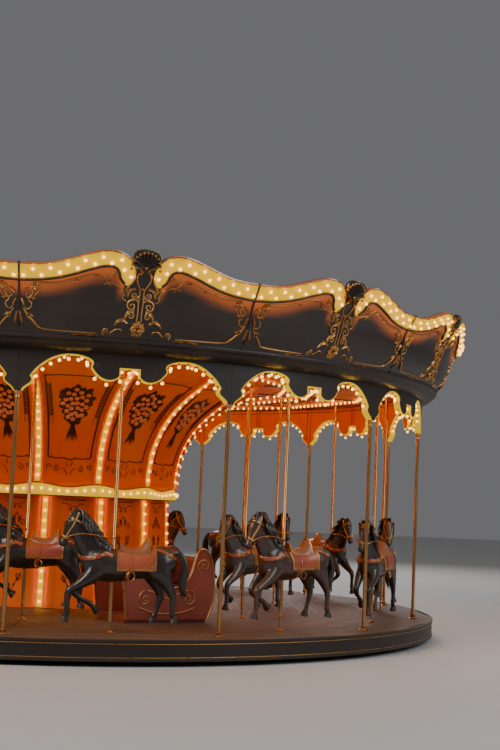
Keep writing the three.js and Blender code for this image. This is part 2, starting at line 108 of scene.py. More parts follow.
floor_mesh = bpy.data.meshes.new("studio_floor")
floor_corners = [(x * FLOOR_REACH, y * FLOOR_REACH, 0) for x, y in ((-1, -1), (1, -1), (1, 1), (-1, 1))]
floor_mesh.from_pydata(floor_corners, [], [(0, 1, 2, 3)])
studio_floor = in_scene("studio_floor", floor_mesh)


def shader_of(material):
    return material.node_tree.nodes["Principled BSDF"]


def bare_material(name):
    """A new material, with its tree and its shader."""
    material = bpy.data.materials.new(name)
    material.use_nodes = True
    return material, material.node_tree, shader_of(material)


floor_paint, _, floor_shader = bare_material("floor_paint")
floor_shader.inputs["Base Color"].default_value = FLOOR_PALE
floor_shader.inputs["Roughness"].default_value = 0.75
floor_mesh.materials.append(floor_paint)

# Base frame, mast and roof sweeps
# Welded steel sections on the ground carry one fixed mast. The hub and its fourteen sweeps turn on the
# mast's flange. The steel is brushed with dark brown enamel, rubbed thin at the edges, dusty on top.
BAYS = 14
BAY_ANGLE = 2 * math.pi / BAYS
HALF_BAY = BAY_ANGLE / 2


def node(tree, kind, feeds=None, **settings):
    """A node with its settings, whose sockets are fed by other sockets or set to plain values."""
    made = tree.nodes.new(kind)
    for name, value in settings.items():
        setattr(made, name, value)
    for socket, value in (feeds or {}).items():
        if isinstance(value, bpy.types.NodeSocket):
            tree.links.new(value, made.inputs[socket])
        else:
            made.inputs[socket].default_value = value
    return made


def reckoned(tree, operation, first, second, clamp=False):
    """The result of one step of arithmetic."""
    step = node(tree, "ShaderNodeMath", {0: first, 1: second}, operation=operation, use_clamp=clamp)
    return step.outputs[0]


def mixed(tree, share, colour, other, blend="MIX"):
    """The colour that comes of laying the other over the first by a share."""
    laid = node(tree, "ShaderNodeMix", {0: share, 6: colour, 7: other}, data_type="RGBA", blend_type=blend)
    return laid.outputs[2]


def effect_group(name, inputs, outputs):
    """A shader node group, with the sockets that it is given and those that it gives."""
    group = bpy.data.node_groups.new(name, "ShaderNodeTree")
    for label, kind, value in inputs:
        group.interface.new_socket(label, in_out="INPUT", socket_type=kind).default_value = value
    for label in outputs:
        group.interface.new_socket(label, in_out="OUTPUT", socket_type="NodeSocketFloat")
    return group, group.nodes.new("NodeGroupInput").outputs, group.nodes.new("NodeGroupOutput").inputs


# Brush marks and the slow change of tone that hand painting leaves
brushwork, given, gives = effect_group(
    "brushwork",
    [("Fineness", "NodeSocketFloat", 40.0), ("Stretch", "NodeSocketVector", (1, 1, 1))],
    ["Grain", "Tone"],
)
placed = node(brushwork, "ShaderNodeMapping", {
    "Vector": node(brushwork, "ShaderNodeTexCoord").outputs["Object"], "Scale": given["Stretch"]})
fine_noise = node(brushwork, "ShaderNodeTexNoise", {
    "Vector": placed.outputs[0], "Scale": given["Fineness"], "Detail": 5.0, "Roughness": 0.6})
slow_noise = node(brushwork, "ShaderNodeTexNoise", {
    "Vector": placed.outputs[0], "Scale": 1.7, "Detail": 4.0, "Roughness": 0.55})
brushwork.links.new(fine_noise.outputs["Fac"], gives["Grain"])
brushwork.links.new(slow_noise.outputs["Fac"], gives["Tone"])

# Wear through the coat in patches, dust on what faces up, and dirt and painted shade in the hollows of
# carvings
ageing, given, gives = effect_group(
    "ageing",
    [("Wear", "NodeSocketFloat", 0.3), ("Dust", "NodeSocketFloat", 0.4)],
    ["Worn", "Dusty", "Grime and Shade"],
)
spot = node(ageing, "ShaderNodeTexCoord").outputs["Object"]
patchy = node(ageing, "ShaderNodeTexNoise", {"Vector": spot, "Scale": 11.0, "Detail": 8.0, "Roughness": 0.72})
threshold = reckoned(ageing, "SUBTRACT", 0.78, given["Wear"])
over = reckoned(ageing, "SUBTRACT", patchy.outputs["Fac"], threshold)
worn = reckoned(ageing, "MULTIPLY", over, 14.0, clamp=True)
shape_of = node(ageing, "ShaderNodeNewGeometry")
facing_up = node(ageing, "ShaderNodeSeparateXYZ", {0: shape_of.outputs["Normal"]})
lying = reckoned(ageing, "MULTIPLY", facing_up.outputs["Z"], patchy.outputs["Fac"], clamp=True)
dusty = reckoned(ageing, "MULTIPLY", lying, given["Dust"], clamp=True)
# Where pointiness is low, in the hollows, the mask darkens the colour: painted shade, with dirt
grime_and_shade_mask = node(ageing, "ShaderNodeMapRange", {
    "Value": shape_of.outputs["Pointiness"], "From Min": 0.5, "From Max": 0.44, "To Min": 0.0, "To Max": 1.0})
ageing.links.new(worn, gives["Worn"])
ageing.links.new(dusty, gives["Dusty"])
ageing.links.new(grime_and_shade_mask.outputs[0], gives["Grime and Shade"])
DUST_COLOUR = (0.33, 0.29, 0.25)


def finish_of(name, colour, tone, under, rough=(0.35, 0.55), metallic=0.0, wear=0.2, dust=0.35, bump=0.15,
              fineness=60.0, stretch=(1, 1, 1), grime_and_shade=0.6, coat=0.0, glow=None):
    """A brushed or spray-painted finish: two tones, wear, dust, dirt and painted shade in the hollows, fine
    bumps.
    """
    material, tree, shader = bare_material(name)
    marks = node(tree, "ShaderNodeGroup", node_tree=brushwork)
    marks.inputs["Fineness"].default_value = fineness
    marks.inputs["Stretch"].default_value = stretch
    age = node(tree, "ShaderNodeGroup", node_tree=ageing)
    age.inputs["Wear"].default_value = wear
    age.inputs["Dust"].default_value = dust
    tones = node(tree, "ShaderNodeValToRGB", {0: marks.outputs["Tone"]})
    for element, position, shade in zip(tones.color_ramp.elements, (0.35, 0.65), (colour, tone)):
        element.position = position
        element.color = (*shade, 1)
    shown = tones.outputs[0]
    # The hollows get a quarter of the colour as painted shade with dirt, then worn patches and dust
    for mask, other, share in (
        (age.outputs["Grime and Shade"], tuple(0.25 * c for c in colour), grime_and_shade),
        (age.outputs["Worn"], under, 1.0),
        (age.outputs["Dusty"], DUST_COLOUR, 1.0),
    ):
        shown = mixed(tree, reckoned(tree, "MULTIPLY", mask, share), shown, (*other, 1))
    tree.links.new(shown, shader.inputs["Base Color"])
    roughness = node(tree, "ShaderNodeMapRange", {
        "Value": marks.outputs["Grain"], "From Min": 0.3, "From Max": 0.7,
        "To Min": rough[0], "To Max": rough[1]})
    tree.links.new(roughness.outputs[0], shader.inputs["Roughness"])
    shader.inputs["Metallic"].default_value = metallic
    shader.inputs["Coat Weight"].default_value = coat
    shader.inputs["Coat Roughness"].default_value = 0.15
    relief = node(tree, "ShaderNodeBump", {
        "Strength": bump, "Distance": 0.002, "Height": marks.outputs["Grain"]})
    tree.links.new(relief.outputs[0], shader.inputs["Normal"])
    if glow:
        shader.inputs["Emission Color"].default_value = (*glow[0], 1)
        shader.inputs["Emission Strength"].default_value = glow[1]
    return material


def coat_node(name, material):
    """A node that is carried over from the model gets a finish."""
    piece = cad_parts[name]
    piece.data.materials.clear()
    piece.data.materials.append(material)


frame_enamel = finish_of("frame_enamel", (0.055, 0.038, 0.028), (0.035, 0.026, 0.02), (0.2, 0.13, 0.09),
                         rough=(0.38, 0.6), metallic=0.1, wear=0.16, dust=0.5, fineness=90)
for part in ("base_frame", "centre_mast", "sweeps", "deck_frame"):
    coat_node(part, frame_enamel)


def ring_faces(rows, n, closed=False):
    """Faces that join rings of n points, one ring after another."""
    faces = [(i * n + k, i * n + (k + 1) % n, (i + 1) % rows * n + (k + 1) % n, (i + 1) % rows * n + k)
             for i in range(rows if closed else rows - 1) for k in range(n)]
    return faces if closed else [*faces, tuple(range(n))[::-1], tuple(range((rows - 1) * n, rows * n))]


def slab_faces(rows, columns):
    """Faces of a slab: a grid of points, the same grid behind it, and the edge between them."""
    half = rows * columns
    faces = []
    for a in (i * columns + k for i in range(rows - 1) for k in range(columns - 1)):
        faces += [(a, a + 1, a + 1 + columns, a + columns),
                  (half + a, half + a + columns, half + a + 1 + columns, half + a + 1)]
    rim = [*range(columns), *(i * columns + columns - 1 for i in range(1, rows)),
           *(half - 1 - k for k in range(1, columns)), *(i * columns for i in range(rows - 2, 0, -1))]
    return faces + [(b, a, half + a, half + b) for a, b in zip(rim, rim[1:] + rim[:1])]


def new_piece(name, points, faces=(), edges=(), material=None):
    """An object made of points, faces and edges."""
    mesh = bpy.data.meshes.new(name)
    mesh.from_pydata([tuple(float(c) for c in p) for p in points], list(edges), [tuple(f) for f in faces])
    mesh.update()
    if material:
        mesh.materials.append(material)
    return in_scene(name, mesh)


def marked(piece, label, values):
    """Gives each point of a piece a number, or a vector where there are three numbers to a point."""
    values = np.asarray(values, np.float32)
    kind, field = ("FLOAT", "value") if values.ndim == 1 else ("FLOAT_VECTOR", "vector")
    piece.data.attributes.new(label, kind, "POINT").data.foreach_set(field, values.ravel())


def shape_tree(name, inputs):
    """A geometry tree with its named inputs, and the sockets that it is given."""
    tree = bpy.data.node_groups.new(name, "GeometryNodeTree")
    tree.interface.new_socket("Geometry", in_out="INPUT", socket_type="NodeSocketGeometry")
    for label, kind, value in inputs:
        socket = tree.interface.new_socket(label, in_out="INPUT", socket_type=kind)
        if value is not None:
            socket.default_value = value
    tree.interface.new_socket("Geometry", in_out="OUTPUT", socket_type="NodeSocketGeometry")
    return tree, tree.nodes.new("NodeGroupInput").outputs


def close_tree(tree, geometry, material):
    """Every tree ends alike: its instances made real, shaded smooth, and given their finish."""
    real = node(tree, "GeometryNodeRealizeInstances", {0: geometry})
    smooth = node(tree, "GeometryNodeSetShadeSmooth", {0: real.outputs[0]})
    finished = node(tree, "GeometryNodeSetMaterial", {0: smooth.outputs[0], "Material": material})
    tree.links.new(finished.outputs[0], tree.nodes.new("NodeGroupOutput").inputs[0])


def grown(piece, *steps):
    """Runs a piece through geometry trees, each with its named values, and leaves a plain mesh."""
    for tree, values in steps:
        modifier = piece.modifiers.new(tree.name, "NODES")
        modifier.node_group = tree
        sockets = {item.name: item.identifier for item in tree.interface.items_tree
                   if item.item_type == "SOCKET" and item.in_out == "INPUT"}
        for label, value in values.items():
            modifier[sockets[label]] = value
    bpy.context.view_layer.update()
    evaluated = piece.evaluated_get(bpy.context.evaluated_depsgraph_get())
    mesh = bpy.data.meshes.new_from_object(evaluated)
    piece.modifiers.clear()
    piece.data = mesh
    return piece


# Repeats what is made for one bay round the mast
round_the_mast, given = shape_tree("round_the_mast", [
    ("Copies", "NodeSocketInt", BAYS), ("Material", "NodeSocketMaterial", None)])
places = node(round_the_mast, "GeometryNodeMeshLine", {"Count": given["Copies"], "Offset": (0, 0, 0)})
share = reckoned(round_the_mast, "DIVIDE", 2 * math.pi, given["Copies"])
copy_number = node(round_the_mast, "GeometryNodeInputIndex").outputs[0]
turning = node(round_the_mast, "ShaderNodeCombineXYZ",
               {"Z": reckoned(round_the_mast, "MULTIPLY", copy_number, share)})
copies = node(round_the_mast, "GeometryNodeInstanceOnPoints", {
    "Points": places.outputs[0], "Instance": given["Geometry"], "Rotation": turning.outputs[0]})
close_tree(round_the_mast, copies.outputs[0], given["Material"])

# Sweeps a round section along each line, as thick as the line's own attribute says
swept_round, given = shape_tree("swept_round", [
    ("Sides", "NodeSocketInt", 8), ("Material", "NodeSocketMaterial", None)])
thickness = node(swept_round, "GeometryNodeInputNamedAttribute", {"Name": "thick"}, data_type="FLOAT")
line = node(swept_round, "GeometryNodeMeshToCurve", {0: given["Geometry"]})
section = node(swept_round, "GeometryNodeCurvePrimitiveCircle", {"Resolution": given["Sides"], "Radius": 1.0})
swept = node(swept_round, "GeometryNodeCurveToMesh", {
    0: line.outputs[0], "Profile Curve": section.outputs[0], "Scale": thickness.outputs[0],
    "Fill Caps": True})
close_tree(swept_round, swept.outputs[0], given["Material"])

# Sets a small part on each point, turned to face the point's own way
set_on_points, given = shape_tree("set_on_points", [
    ("Unit", "NodeSocketObject", None), ("Material", "NodeSocketMaterial", None)])
way = node(set_on_points, "GeometryNodeInputNamedAttribute", {"Name": "facing"}, data_type="FLOAT_VECTOR")
faced = node(set_on_points, "FunctionNodeAlignRotationToVector", {"Vector": way.outputs[0]}, axis="Z")
unit = node(set_on_points, "GeometryNodeObjectInfo", {"Object": given["Unit"]})
placed_units = node(set_on_points, "GeometryNodeInstanceOnPoints", {
    "Points": given["Geometry"], "Instance": unit.outputs["Geometry"], "Rotation": faced.outputs[0]})
close_tree(set_on_points, placed_units.outputs[0], given["Material"])


def every_bay(piece, material, sides=0, sharp=None):
    """Sweeps a piece's lines round when it has sides, and repeats it in each bay."""
    steps = [(swept_round, {"Sides": sides, "Material": material})] if sides else []
    grown(piece, *steps, (round_the_mast, {"Material": material}))
    if sharp:
        piece.data.set_sharp_from_angle(angle=math.radians(sharp))
    return piece


def at_points(name, points, ways, unit, material):
    """A unit set on each point, turned to face the point's own way."""
    piece = new_piece(name, points)
    marked(piece, "facing", np.broadcast_to(ways, (len(points), 3)))
    return grown(piece, (set_on_points, {"Unit": unit, "Material": material}))


def smooth_line(points, per_span):
    """A curve through the points, with a few steps to each span."""
    p = [np.array(q, float) for q in points]
    p = [2 * p[0] - p[1], *p, 2 * p[-1] - p[-2]]
    steps = np.linspace(0, 1, per_span, endpoint=False)
    curve = [0.5 * (2 * b + (c - a) * t + (2 * a - 5 * b + 4 * c - d) * t**2 + (3 * b - a - 3 * c + d) * t**3)
             for a, b, c, d in zip(p, p[1:], p[2:], p[3:]) for t in steps]
    return np.array([*curve, p[-2]])


def round_mast(radius, azimuth, height):
    """Points at a radius from the mast, an azimuth and a height."""
    radius, azimuth, height = np.broadcast_arrays(radius, azimuth, height)
    return np.stack([radius * np.sin(azimuth), -radius * np.cos(azimuth), height], axis=-1)


def lines_piece(name, lines, thick):
    """Polylines as one edge mesh, with the thickness at each point that the swept round reads."""
    points = np.concatenate([np.asarray(line, float) for line in lines])
    starts = np.cumsum([0] + [len(line) for line in lines])
    edges = [(i, i + 1) for a, b in zip(starts, starts[1:]) for i in range(a, b - 1)]
    piece = new_piece(name, points, edges=edges)
    marked(piece, "thick", np.concatenate(thick))
    return piece


def lathe(name, profile, steps, material):
    """A closed section of (radius, height) points turned about the mast."""
    profile = np.array(profile, float)
    turns = [2 * math.pi * i / steps for i in range(steps)]
    points = np.concatenate([round_mast(profile[:, 0], turn, profile[:, 1]) for turn in turns])
    return right_way_out(new_piece(name, points, ring_faces(steps, len(profile), True), material=material))


def right_way_out(piece, smooth_angle=35):
    """Merges doubles, turns the faces outwards and keeps the edges past an angle sharp."""
    shape = bmesh.new()
    shape.from_mesh(piece.data)
    bmesh.ops.remove_doubles(shape, verts=shape.verts, dist=1e-6)
    bmesh.ops.recalc_face_normals(shape, faces=shape.faces)
    shape.to_mesh(piece.data)
    shape.free()
    piece.data.shade_smooth()
    piece.data.set_sharp_from_angle(angle=math.radians(smooth_angle))
    return piece


# Deck boards
# Each of the fourteen deck sections is laid with softwood boards across it, cut to a mitre at the joists
# and screwed down on plywood. The stain has worn pale in patches, where it is walked on.
DECK_TOP = 0.3
DECK_OUTER = 5.7497
DECK_INNER = 1.65
BOARD_WIDTH = 0.112
BOARD_GAP = 0.004
BOARD_DEPTH = 0.03
BOARD_EDGE = 0.003
SCREW_IN = 0.025
SCREW_FROM_JOINT = 0.045

board_points, board_faces, board_grain, screw_points = [], [], [], []
chance = random.Random(7)
near = DECK_INNER
while near < DECK_OUTER - 0.05:
    far = min(near + BOARD_WIDTH, DECK_OUTER - 0.004)
    across = np.linspace(near, far, 2 if far * far < DECK_OUTER**2 * math.cos(HALF_BAY)**2 else 9)
    reach = np.minimum(across * math.tan(HALF_BAY) - BOARD_GAP / 2,
                       np.sqrt(np.maximum(DECK_OUTER**2 - across**2, 0.0)))
    outline = [(-x, y) for x, y in zip(reach, across)] + [(x, y) for x, y in zip(reach[::-1], across[::-1])]
    middle = np.mean(outline, axis=0)
    start, count, shift = len(board_points), len(outline), chance.uniform(0, 9)
    for inset, height in ((0, DECK_TOP - BOARD_DEPTH), (0, DECK_TOP - BOARD_EDGE), (BOARD_EDGE, DECK_TOP)):
        for x, y in outline:
            x -= inset * np.sign(x)
            y -= inset * np.sign(y - middle[1])
            board_points.append((x, -y, height))
            board_grain.append((x + shift, y, shift))
    for a in range(count):
        b = (a + 1) % count
        for ring in (0, 1):
            low, high = start + ring * count, start + (ring + 1) * count
            board_faces.append((low + a, low + b, high + b, high + a))
    board_faces += [tuple(range(start, start + count))[::-1],
                    tuple(range(start + 2 * count, start + 3 * count))]
    for side in (-1, 1):
        for y in (near + SCREW_IN, far - SCREW_IN):
            limit = min(y * math.tan(HALF_BAY), math.sqrt(max(DECK_OUTER**2 - y * y, 0)))
            if limit > 0.2:
                screw_points.append((side * (limit - SCREW_FROM_JOINT), -y, DECK_TOP - 0.0015))
    near += BOARD_WIDTH + BOARD_GAP

deck_stain, tree, shader = bare_material("deck_stain")
grain_place = node(tree, "ShaderNodeAttribute", attribute_name="board")
along = node(tree, "ShaderNodeMapping", {"Vector": grain_place.outputs["Vector"], "Scale": (0.7, 22, 1)})
rings = node(tree, "ShaderNodeTexNoise", {
    "Vector": along.outputs[0], "Scale": 3.0, "Detail": 6.0, "Distortion": 0.6})
tones = node(tree, "ShaderNodeValToRGB", {0: rings.outputs["Fac"]})
for element, position, shade in zip(tones.color_ramp.elements, (0.3, 0.72),
                                    ((0.055, 0.03, 0.018, 1), (0.17, 0.095, 0.052, 1))):
    element.position = position
    element.color = shade
board_number = node(tree, "ShaderNodeSeparateXYZ", {0: grain_place.outputs["Vector"]})
board_tone = node(tree, "ShaderNodeTexWhiteNoise", {"W": board_number.outputs["Z"]}, noise_dimensions="1D")
tone_range = node(tree, "ShaderNodeMapRange", {
    "Value": board_tone.outputs["Value"], "To Min": 0.62, "To Max": 1.35})
toned = mixed(tree, 1.0, tones.outputs[0], tone_range.outputs[0], "MULTIPLY")
age = node(tree, "ShaderNodeGroup", node_tree=ageing)
age.inputs["Wear"].default_value = 0.2
age.inputs["Dust"].default_value = 0.16
walked = mixed(tree, age.outputs["Worn"], toned, (0.22, 0.13, 0.075, 1))
dusted = mixed(tree, age.outputs["Dusty"], walked, (0.24, 0.19, 0.15, 1))
tree.links.new(dusted, shader.inputs["Base Color"])
rough = node(tree, "ShaderNodeMapRange", {"Value": rings.outputs["Fac"], "To Min": 0.45, "To Max": 0.8})
tree.links.new(rough.outputs[0], shader.inputs["Roughness"])
relief = node(tree, "ShaderNodeBump", {"Strength": 0.35, "Distance": 0.003, "Height": rings.outputs["Fac"]})
tree.links.new(relief.outputs[0], shader.inputs["Normal"])

deck_boards = new_piece("deck_boards", board_points, board_faces)
marked(deck_boards, "board", board_grain)
right_way_out(deck_boards)
deck_boards.data.transform(Matrix.Rotation(HALF_BAY, 4, "Z"))
grown(deck_boards, (round_the_mast, {"Material": deck_stain}))
deck_boards.data.shade_flat()
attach(deck_boards, "rotor")

PLYWOOD_OUTER = DECK_OUTER - 0.006
under_deck = lathe("under_deck", [(DECK_INNER, 0.24), (PLYWOOD_OUTER, 0.24), (PLYWOOD_OUTER, 0.268),
                                  (DECK_INNER, 0.268)], 56, deck_stain)
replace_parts(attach(under_deck, "rotor"), "deck")

polished_brass = finish_of("polished_brass", (0.62, 0.34, 0.14), (0.52, 0.25, 0.09), (0.3, 0.16, 0.07),
                           rough=(0.16, 0.34), metallic=0.95, wear=0.12, dust=0.1, bump=0.04, fineness=25,
                           stretch=(1, 1, 0.05), grime_and_shade=0.5)
screw_head = lathe("screw_head", [(0, -0.002), (0.005, 0.0004), (0, 0.0016)], 4, polished_brass)
deck_screws = at_points("deck_screws", screw_points, (0, 0, 1), screw_head, polished_brass)
deck_screws.data.transform(Matrix.Rotation(HALF_BAY, 4, "Z"))
bpy.data.objects.remove(screw_head)
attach(every_bay(deck_screws, polished_brass), "rotor")

# Deck rim
# A bent plywood fascia closes the edge of the deck, nailed to the rim of the sections. It is painted nearly
# black, with a gilt bead along the top and the bottom.
RIM_OUTER = 5.79
crown_black = finish_of("crown_black", (0.016, 0.01, 0.007), (0.03, 0.017, 0.011), (0.14, 0.07, 0.03),
                        rough=(0.42, 0.6), wear=0.14, dust=0.16, bump=0.12, fineness=70, coat=0.08)
gilding = finish_of("gilding", (0.66, 0.36, 0.12), (0.48, 0.22, 0.065), (0.2, 0.07, 0.03),
                    rough=(0.24, 0.46), metallic=0.85, wear=0.2, dust=0.2, bump=0.25, fineness=110, grime_and_shade=0.9)
deck_rim = lathe("rim_fascia", [
    (5.75, 0.06), (5.781, 0.06), (5.787, 0.066), (5.787, 0.086), (5.78, 0.094), (5.78, 0.262),
    (5.787, 0.268), (RIM_OUTER, 0.276), (RIM_OUTER, 0.294), (5.785, 0.3), (5.75, 0.3)], 168, crown_black)
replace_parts(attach(deck_rim, "rotor"), "deck_rim")
rim_lines = lines_piece(
    "rim_beads", [round_mast(5.781, np.linspace(0, BAY_ANGLE, 13), z) for z in (0.104, 0.252)],
    thick=[[0.0055] * 13] * 2)
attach(every_bay(rim_lines, gilding, 6), "rotor")

# Corner poles on their ring beam
# Fourteen brass tubes rise through the deck from the ring beam to the tips of the valance. Each has a turned
# flange on the deck and a collar under the valance.
POLE_CIRCLE = 5.5
pole_ring = lathe("pole_ring_beam", [(5.44, 0.155), (5.56, 0.155), (5.56, 0.165), (5.505, 0.165),
                                     (5.505, 0.229), (5.56, 0.229), (5.56, 0.2395), (5.44, 0.2395),
                                     (5.44, 0.229), (5.495, 0.229), (5.495, 0.165), (5.44, 0.165)],
                  84, frame_enamel)
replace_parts(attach(pole_ring, "rotor"), "corner_poles")
corner_poles = lathe("corner_pole_tubes", [
    (0, 0.2), (0.024, 0.2), (0.024, 0.3005), (0.062, 0.3005), (0.062, 0.308), (0.046, 0.313), (0.034, 0.322),
    (0.033, 0.345), (0.037, 0.352), (0.033, 0.359), (0.024, 0.364), (0.0235, 1.6), (0.024, 2.892),
    (0.031, 2.897), (0.033, 2.908), (0.029, 2.916), (0.029, 2.944), (0.034, 2.952), (0.036, 2.966),
    (0.03, 2.979), (0, 2.979)], 20, polished_brass)
corner_poles.data.transform(Matrix.Translation((0, -POLE_CIRCLE, 0)))
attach(every_bay(corner_poles, polished_brass, sharp=40), "rotor")

# Guide rods of the horse poles
# A thin brass rod stands in a turned cup on the deck under each horse, and the horse's pole, a tube, slides
# over it as the horse rises and falls.
OUTER_ROW = 5.1
INNER_ROW = 3.6
horse_places = [(f"horse_outer_{i + 1:02d}", OUTER_ROW, (i + 0.5) * BAY_ANGLE) for i in range(BAYS)]
horse_places += [(f"horse_inner_{i + 1:02d}", INNER_ROW, 2 * i * BAY_ANGLE) for i in range(BAYS // 2)]
rod_unit = lathe("rod_unit", [(0, 0), (0.055, 0), (0.055, 0.006), (0.042, 0.01), (0.028, 0.02),
                              (0.026, 0.029), (0.012, 0.03), (0.012, 0.43), (0.009, 0.44), (0, 0.44)],
                 14, polished_brass)
guide_rods = at_points("guide_rods", [round_mast(r, a, DECK_TOP + 0.0005) for _, r, a in horse_places],
                       (0, 0, 1), rod_unit, polished_brass)
guide_rods.data.set_sharp_from_angle(angle=math.radians(40))
bpy.data.objects.remove(rod_unit)
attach(guide_rods, "rotor")

# Drum, light belt and flare
# The machinery stands inside a fourteen-sided drum of painted plywood with a pilaster at each corner. Above a
# lit belt it opens out like a trumpet. A channel with a row of lamps runs up every pilaster and every rib.
FLARE_TURN = -0.038
DRUM_TURN = 0.026
PANEL_WALL = 0.02
amber_panel = finish_of("amber_panel", (0.92, 0.165, 0.026), (0.94, 0.235, 0.046), (0.46, 0.08, 0.02),
                        rough=(0.5, 0.7), wear=0.1, dust=0.06, bump=0.1, fineness=45)
shader_of(amber_panel).inputs["Specular IOR Level"].default_value = 0.05
umber_line = finish_of("umber_line", (0.085, 0.018, 0.008), (0.12, 0.028, 0.012), (0.3, 0.08, 0.02),
                       rough=(0.35, 0.55), wear=0.12, dust=0.1, bump=0.1)
# The lamp beds glow a little with painted lamp light, though they are no lamps
lamp_bed = finish_of("lamp_bed", (0.2, 0.075, 0.001), (0.24, 0.095, 0.002), (0.3, 0.07, 0.01),
                     rough=(0.6, 0.8), wear=0.04, dust=0.03, bump=0.05, glow=((1.0, 0.66, 0.0), 0.72))

# The lamps' glass gives its full power to the machine and shows a fifth of it, which keeps its colour warm
LAMP_COLOUR = (1.0, 0.52, 0.06)
LAMP_POWER = 15.0
LAMP_POWER_SEEN = 3.2
lamp_glass = finish_of("lamp_glass", (1.0, 0.86, 0.55), (1.0, 0.88, 0.6), (1.0, 0.8, 0.5), rough=(0.08, 0.12),
                       wear=0.0, dust=0.0, bump=0.0, coat=0.6, glow=(LAMP_COLOUR, LAMP_POWER))
tree = lamp_glass.node_tree
seen = node(tree, "ShaderNodeLightPath").outputs["Is Camera Ray"]
colour_seen = [c * LAMP_POWER_SEEN / LAMP_POWER for c in LAMP_COLOUR]
lamp_light = mixed(tree, seen, (*LAMP_COLOUR, 1), (*colour_seen, 1))
tree.links.new(lamp_light, shader_of(lamp_glass).inputs["Emission Color"])


class Face:
    """A drum face from its (radius, height) points at the corners. A place on it is x across from the
    middle of a bay, s up along the face, and how far proud. On a rib, x is measured from the corner."""

    def __init__(self, points, per_span, shift=0.0, rib_half=0.0):
        self.radius, self.height = smooth_line(points, per_span).T
        run = np.hypot(np.diff(self.radius), np.diff(self.height))
        self.s = np.concatenate([[0], np.cumsum(run)])
        self.out = np.gradient(self.height, self.s)
        self.up = -np.gradient(self.radius, self.s)
        self.shift, self.rib_half = shift, rib_half

    def at(self, x, s, proud, rib=False):
        """Points on the face."""
        x, s, proud = np.broadcast_arrays(np.asarray(x, float), s, proud)
        radius, height, out, up = (np.interp(s, self.s, v)
                                   for v in (self.radius, self.height, self.out, self.up))
        if not rib:
            radius = radius * math.cos(HALF_BAY) + self.rib_half * math.sin(HALF_BAY)
        reach, height = radius + proud * out, height + proud * up
        turn = self.shift + (0 if rib else HALF_BAY)
        return np.stack([x * math.cos(turn) + reach * math.sin(turn),
                         x * math.sin(turn) - reach * math.cos(turn), height], axis=-1)

    def way(self, s, rib=False):
        """The way straight out of the face."""
        out, up = np.interp(s, self.s, self.out), np.interp(s, self.s, self.up)
        turn = self.shift + (0 if rib else HALF_BAY)
        return np.stack([out * math.sin(turn), -out * math.cos(turn), up], axis=-1)

    def half_width(self, s):
        """Half the width of the panel between two ribs."""
        return np.interp(s, self.s, self.radius) * math.sin(HALF_BAY) - self.rib_half * math.cos(HALF_BAY)


def strip(name, rows, material):
    """A closed bar from rings of points, one ring to a row."""
    rows = np.asarray(rows, float)
    return right_way_out(new_piece(name, rows.reshape(-1, 3), ring_faces(*rows.shape[:2]), material=material))


flare = Face([(1.89, 2.0203), (1.875, 2.17), (1.958, 2.577), (2.19, 2.975), (2.56, 3.31), (3.105, 3.6285)], 5,
             FLARE_TURN, 0.075)
drum = Face([(1.87, 0.3005), (1.775, 0.9), (1.73, 1.8395)], 4, DRUM_TURN, 0.195)
BED_HALF = 0.034
rib_section = [(-0.075, -0.02), (-0.075, 0.026), (-0.069, 0.032), (-0.054, 0.03), (-0.043, 0.034),
               (-0.037, 0.028), (-BED_HALF, 0.013)]
pilaster_section = [(-0.195, -0.02), (-0.195, 0.008), (-0.186, 0.016), (-0.176, 0.018), (-0.16, 0.031),
                    (-0.122, 0.04), (-0.084, 0.034), (-0.06, 0.022), (-0.044, 0.027), (-0.037, 0.024),
                    (-BED_HALF, 0.013)]
for name, face, node_name, section in (("flare", flare, "flare", rib_section),
                                       ("drum", drum, "drum_lower", pilaster_section)):
    half = face.half_width(face.s)[:, None] * np.array([-1, 1, 1, -1])
    panels = strip(f"{name}_panels",
                   face.at(half, face.s[:, None], np.array([0, 0, -PANEL_WALL, -PANEL_WALL])), amber_panel)
    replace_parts(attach(every_bay(panels, amber_panel, sharp=40), "rotor"), node_name)
    whole = np.array(section + [(-x, p) for x, p in section[::-1]])
    rails = strip(f"{name}_rails", face.at(whole[:, 0], face.s[:, None], whole[:, 1], rib=True), amber_panel)
    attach(every_bay(rails, amber_panel, sharp=30), "rotor")
    # The bed of each channel glows with painted lamp light
    bed = np.array([(-BED_HALF, 0.0135), (BED_HALF, 0.0135), (0.032, 0.018), (-0.032, 0.018)])
    inner = np.linspace(0.012, face.s[-1] - 0.012, 18)
    lit = strip(f"{name}_lamp_beds", face.at(bed[:, 0], inner[:, None], bed[:, 1], rib=True), lamp_bed)
    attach(every_bay(lit, lamp_bed), "rotor")

# Light belt
# A fourteen-sided box between drum and flare carries a plate that glows with painted lamp light. The plate's
# upper edge swings up at every corner and is rimmed with a dark bead; lamps follow its middle.
BELT_RADIUS = 1.895
BELT_HEIGHT = 0.1794
BELT_DEPTH = 0.19
belt = Face([(BELT_RADIUS, 1.8403), (BELT_RADIUS, 2.0197)], 1, FLARE_TURN)
belt_half = belt.half_width(0.0)
belt_box = strip("belt_box", belt.at(np.array([-1, 1, 1, -1]) * belt_half, np.array([[0.0], [BELT_HEIGHT]]),
                                     np.array([0.0, 0.0, -BELT_DEPTH, -BELT_DEPTH])), amber_panel)
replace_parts(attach(every_bay(belt_box, amber_panel, sharp=20), "rotor"), "light_belt")
wave_x = np.linspace(-belt_half, belt_half, 21)
wave_top = 0.15 - 0.024 * np.cos(math.pi * wave_x / belt_half)
lit_plate = strip("belt_lit_face", np.stack([
    belt.at(wave_x, 0.012, 0.0005), belt.at(wave_x, 0.014, 0.01),
    belt.at(wave_x, wave_top - 0.002, 0.01), belt.at(wave_x, wave_top, 0.0005)], axis=1), lamp_bed)
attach(every_bay(lit_plate, lamp_bed), "rotor")
belt_beads = lines_piece("belt_beads", [belt.at(wave_x, wave_top + 0.002, 0.006),
                                        belt.at(wave_x, 0.006, 0.006)],
                         thick=[[0.007] * 21] * 2)
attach(every_bay(belt_beads, umber_line, 6), "rotor")

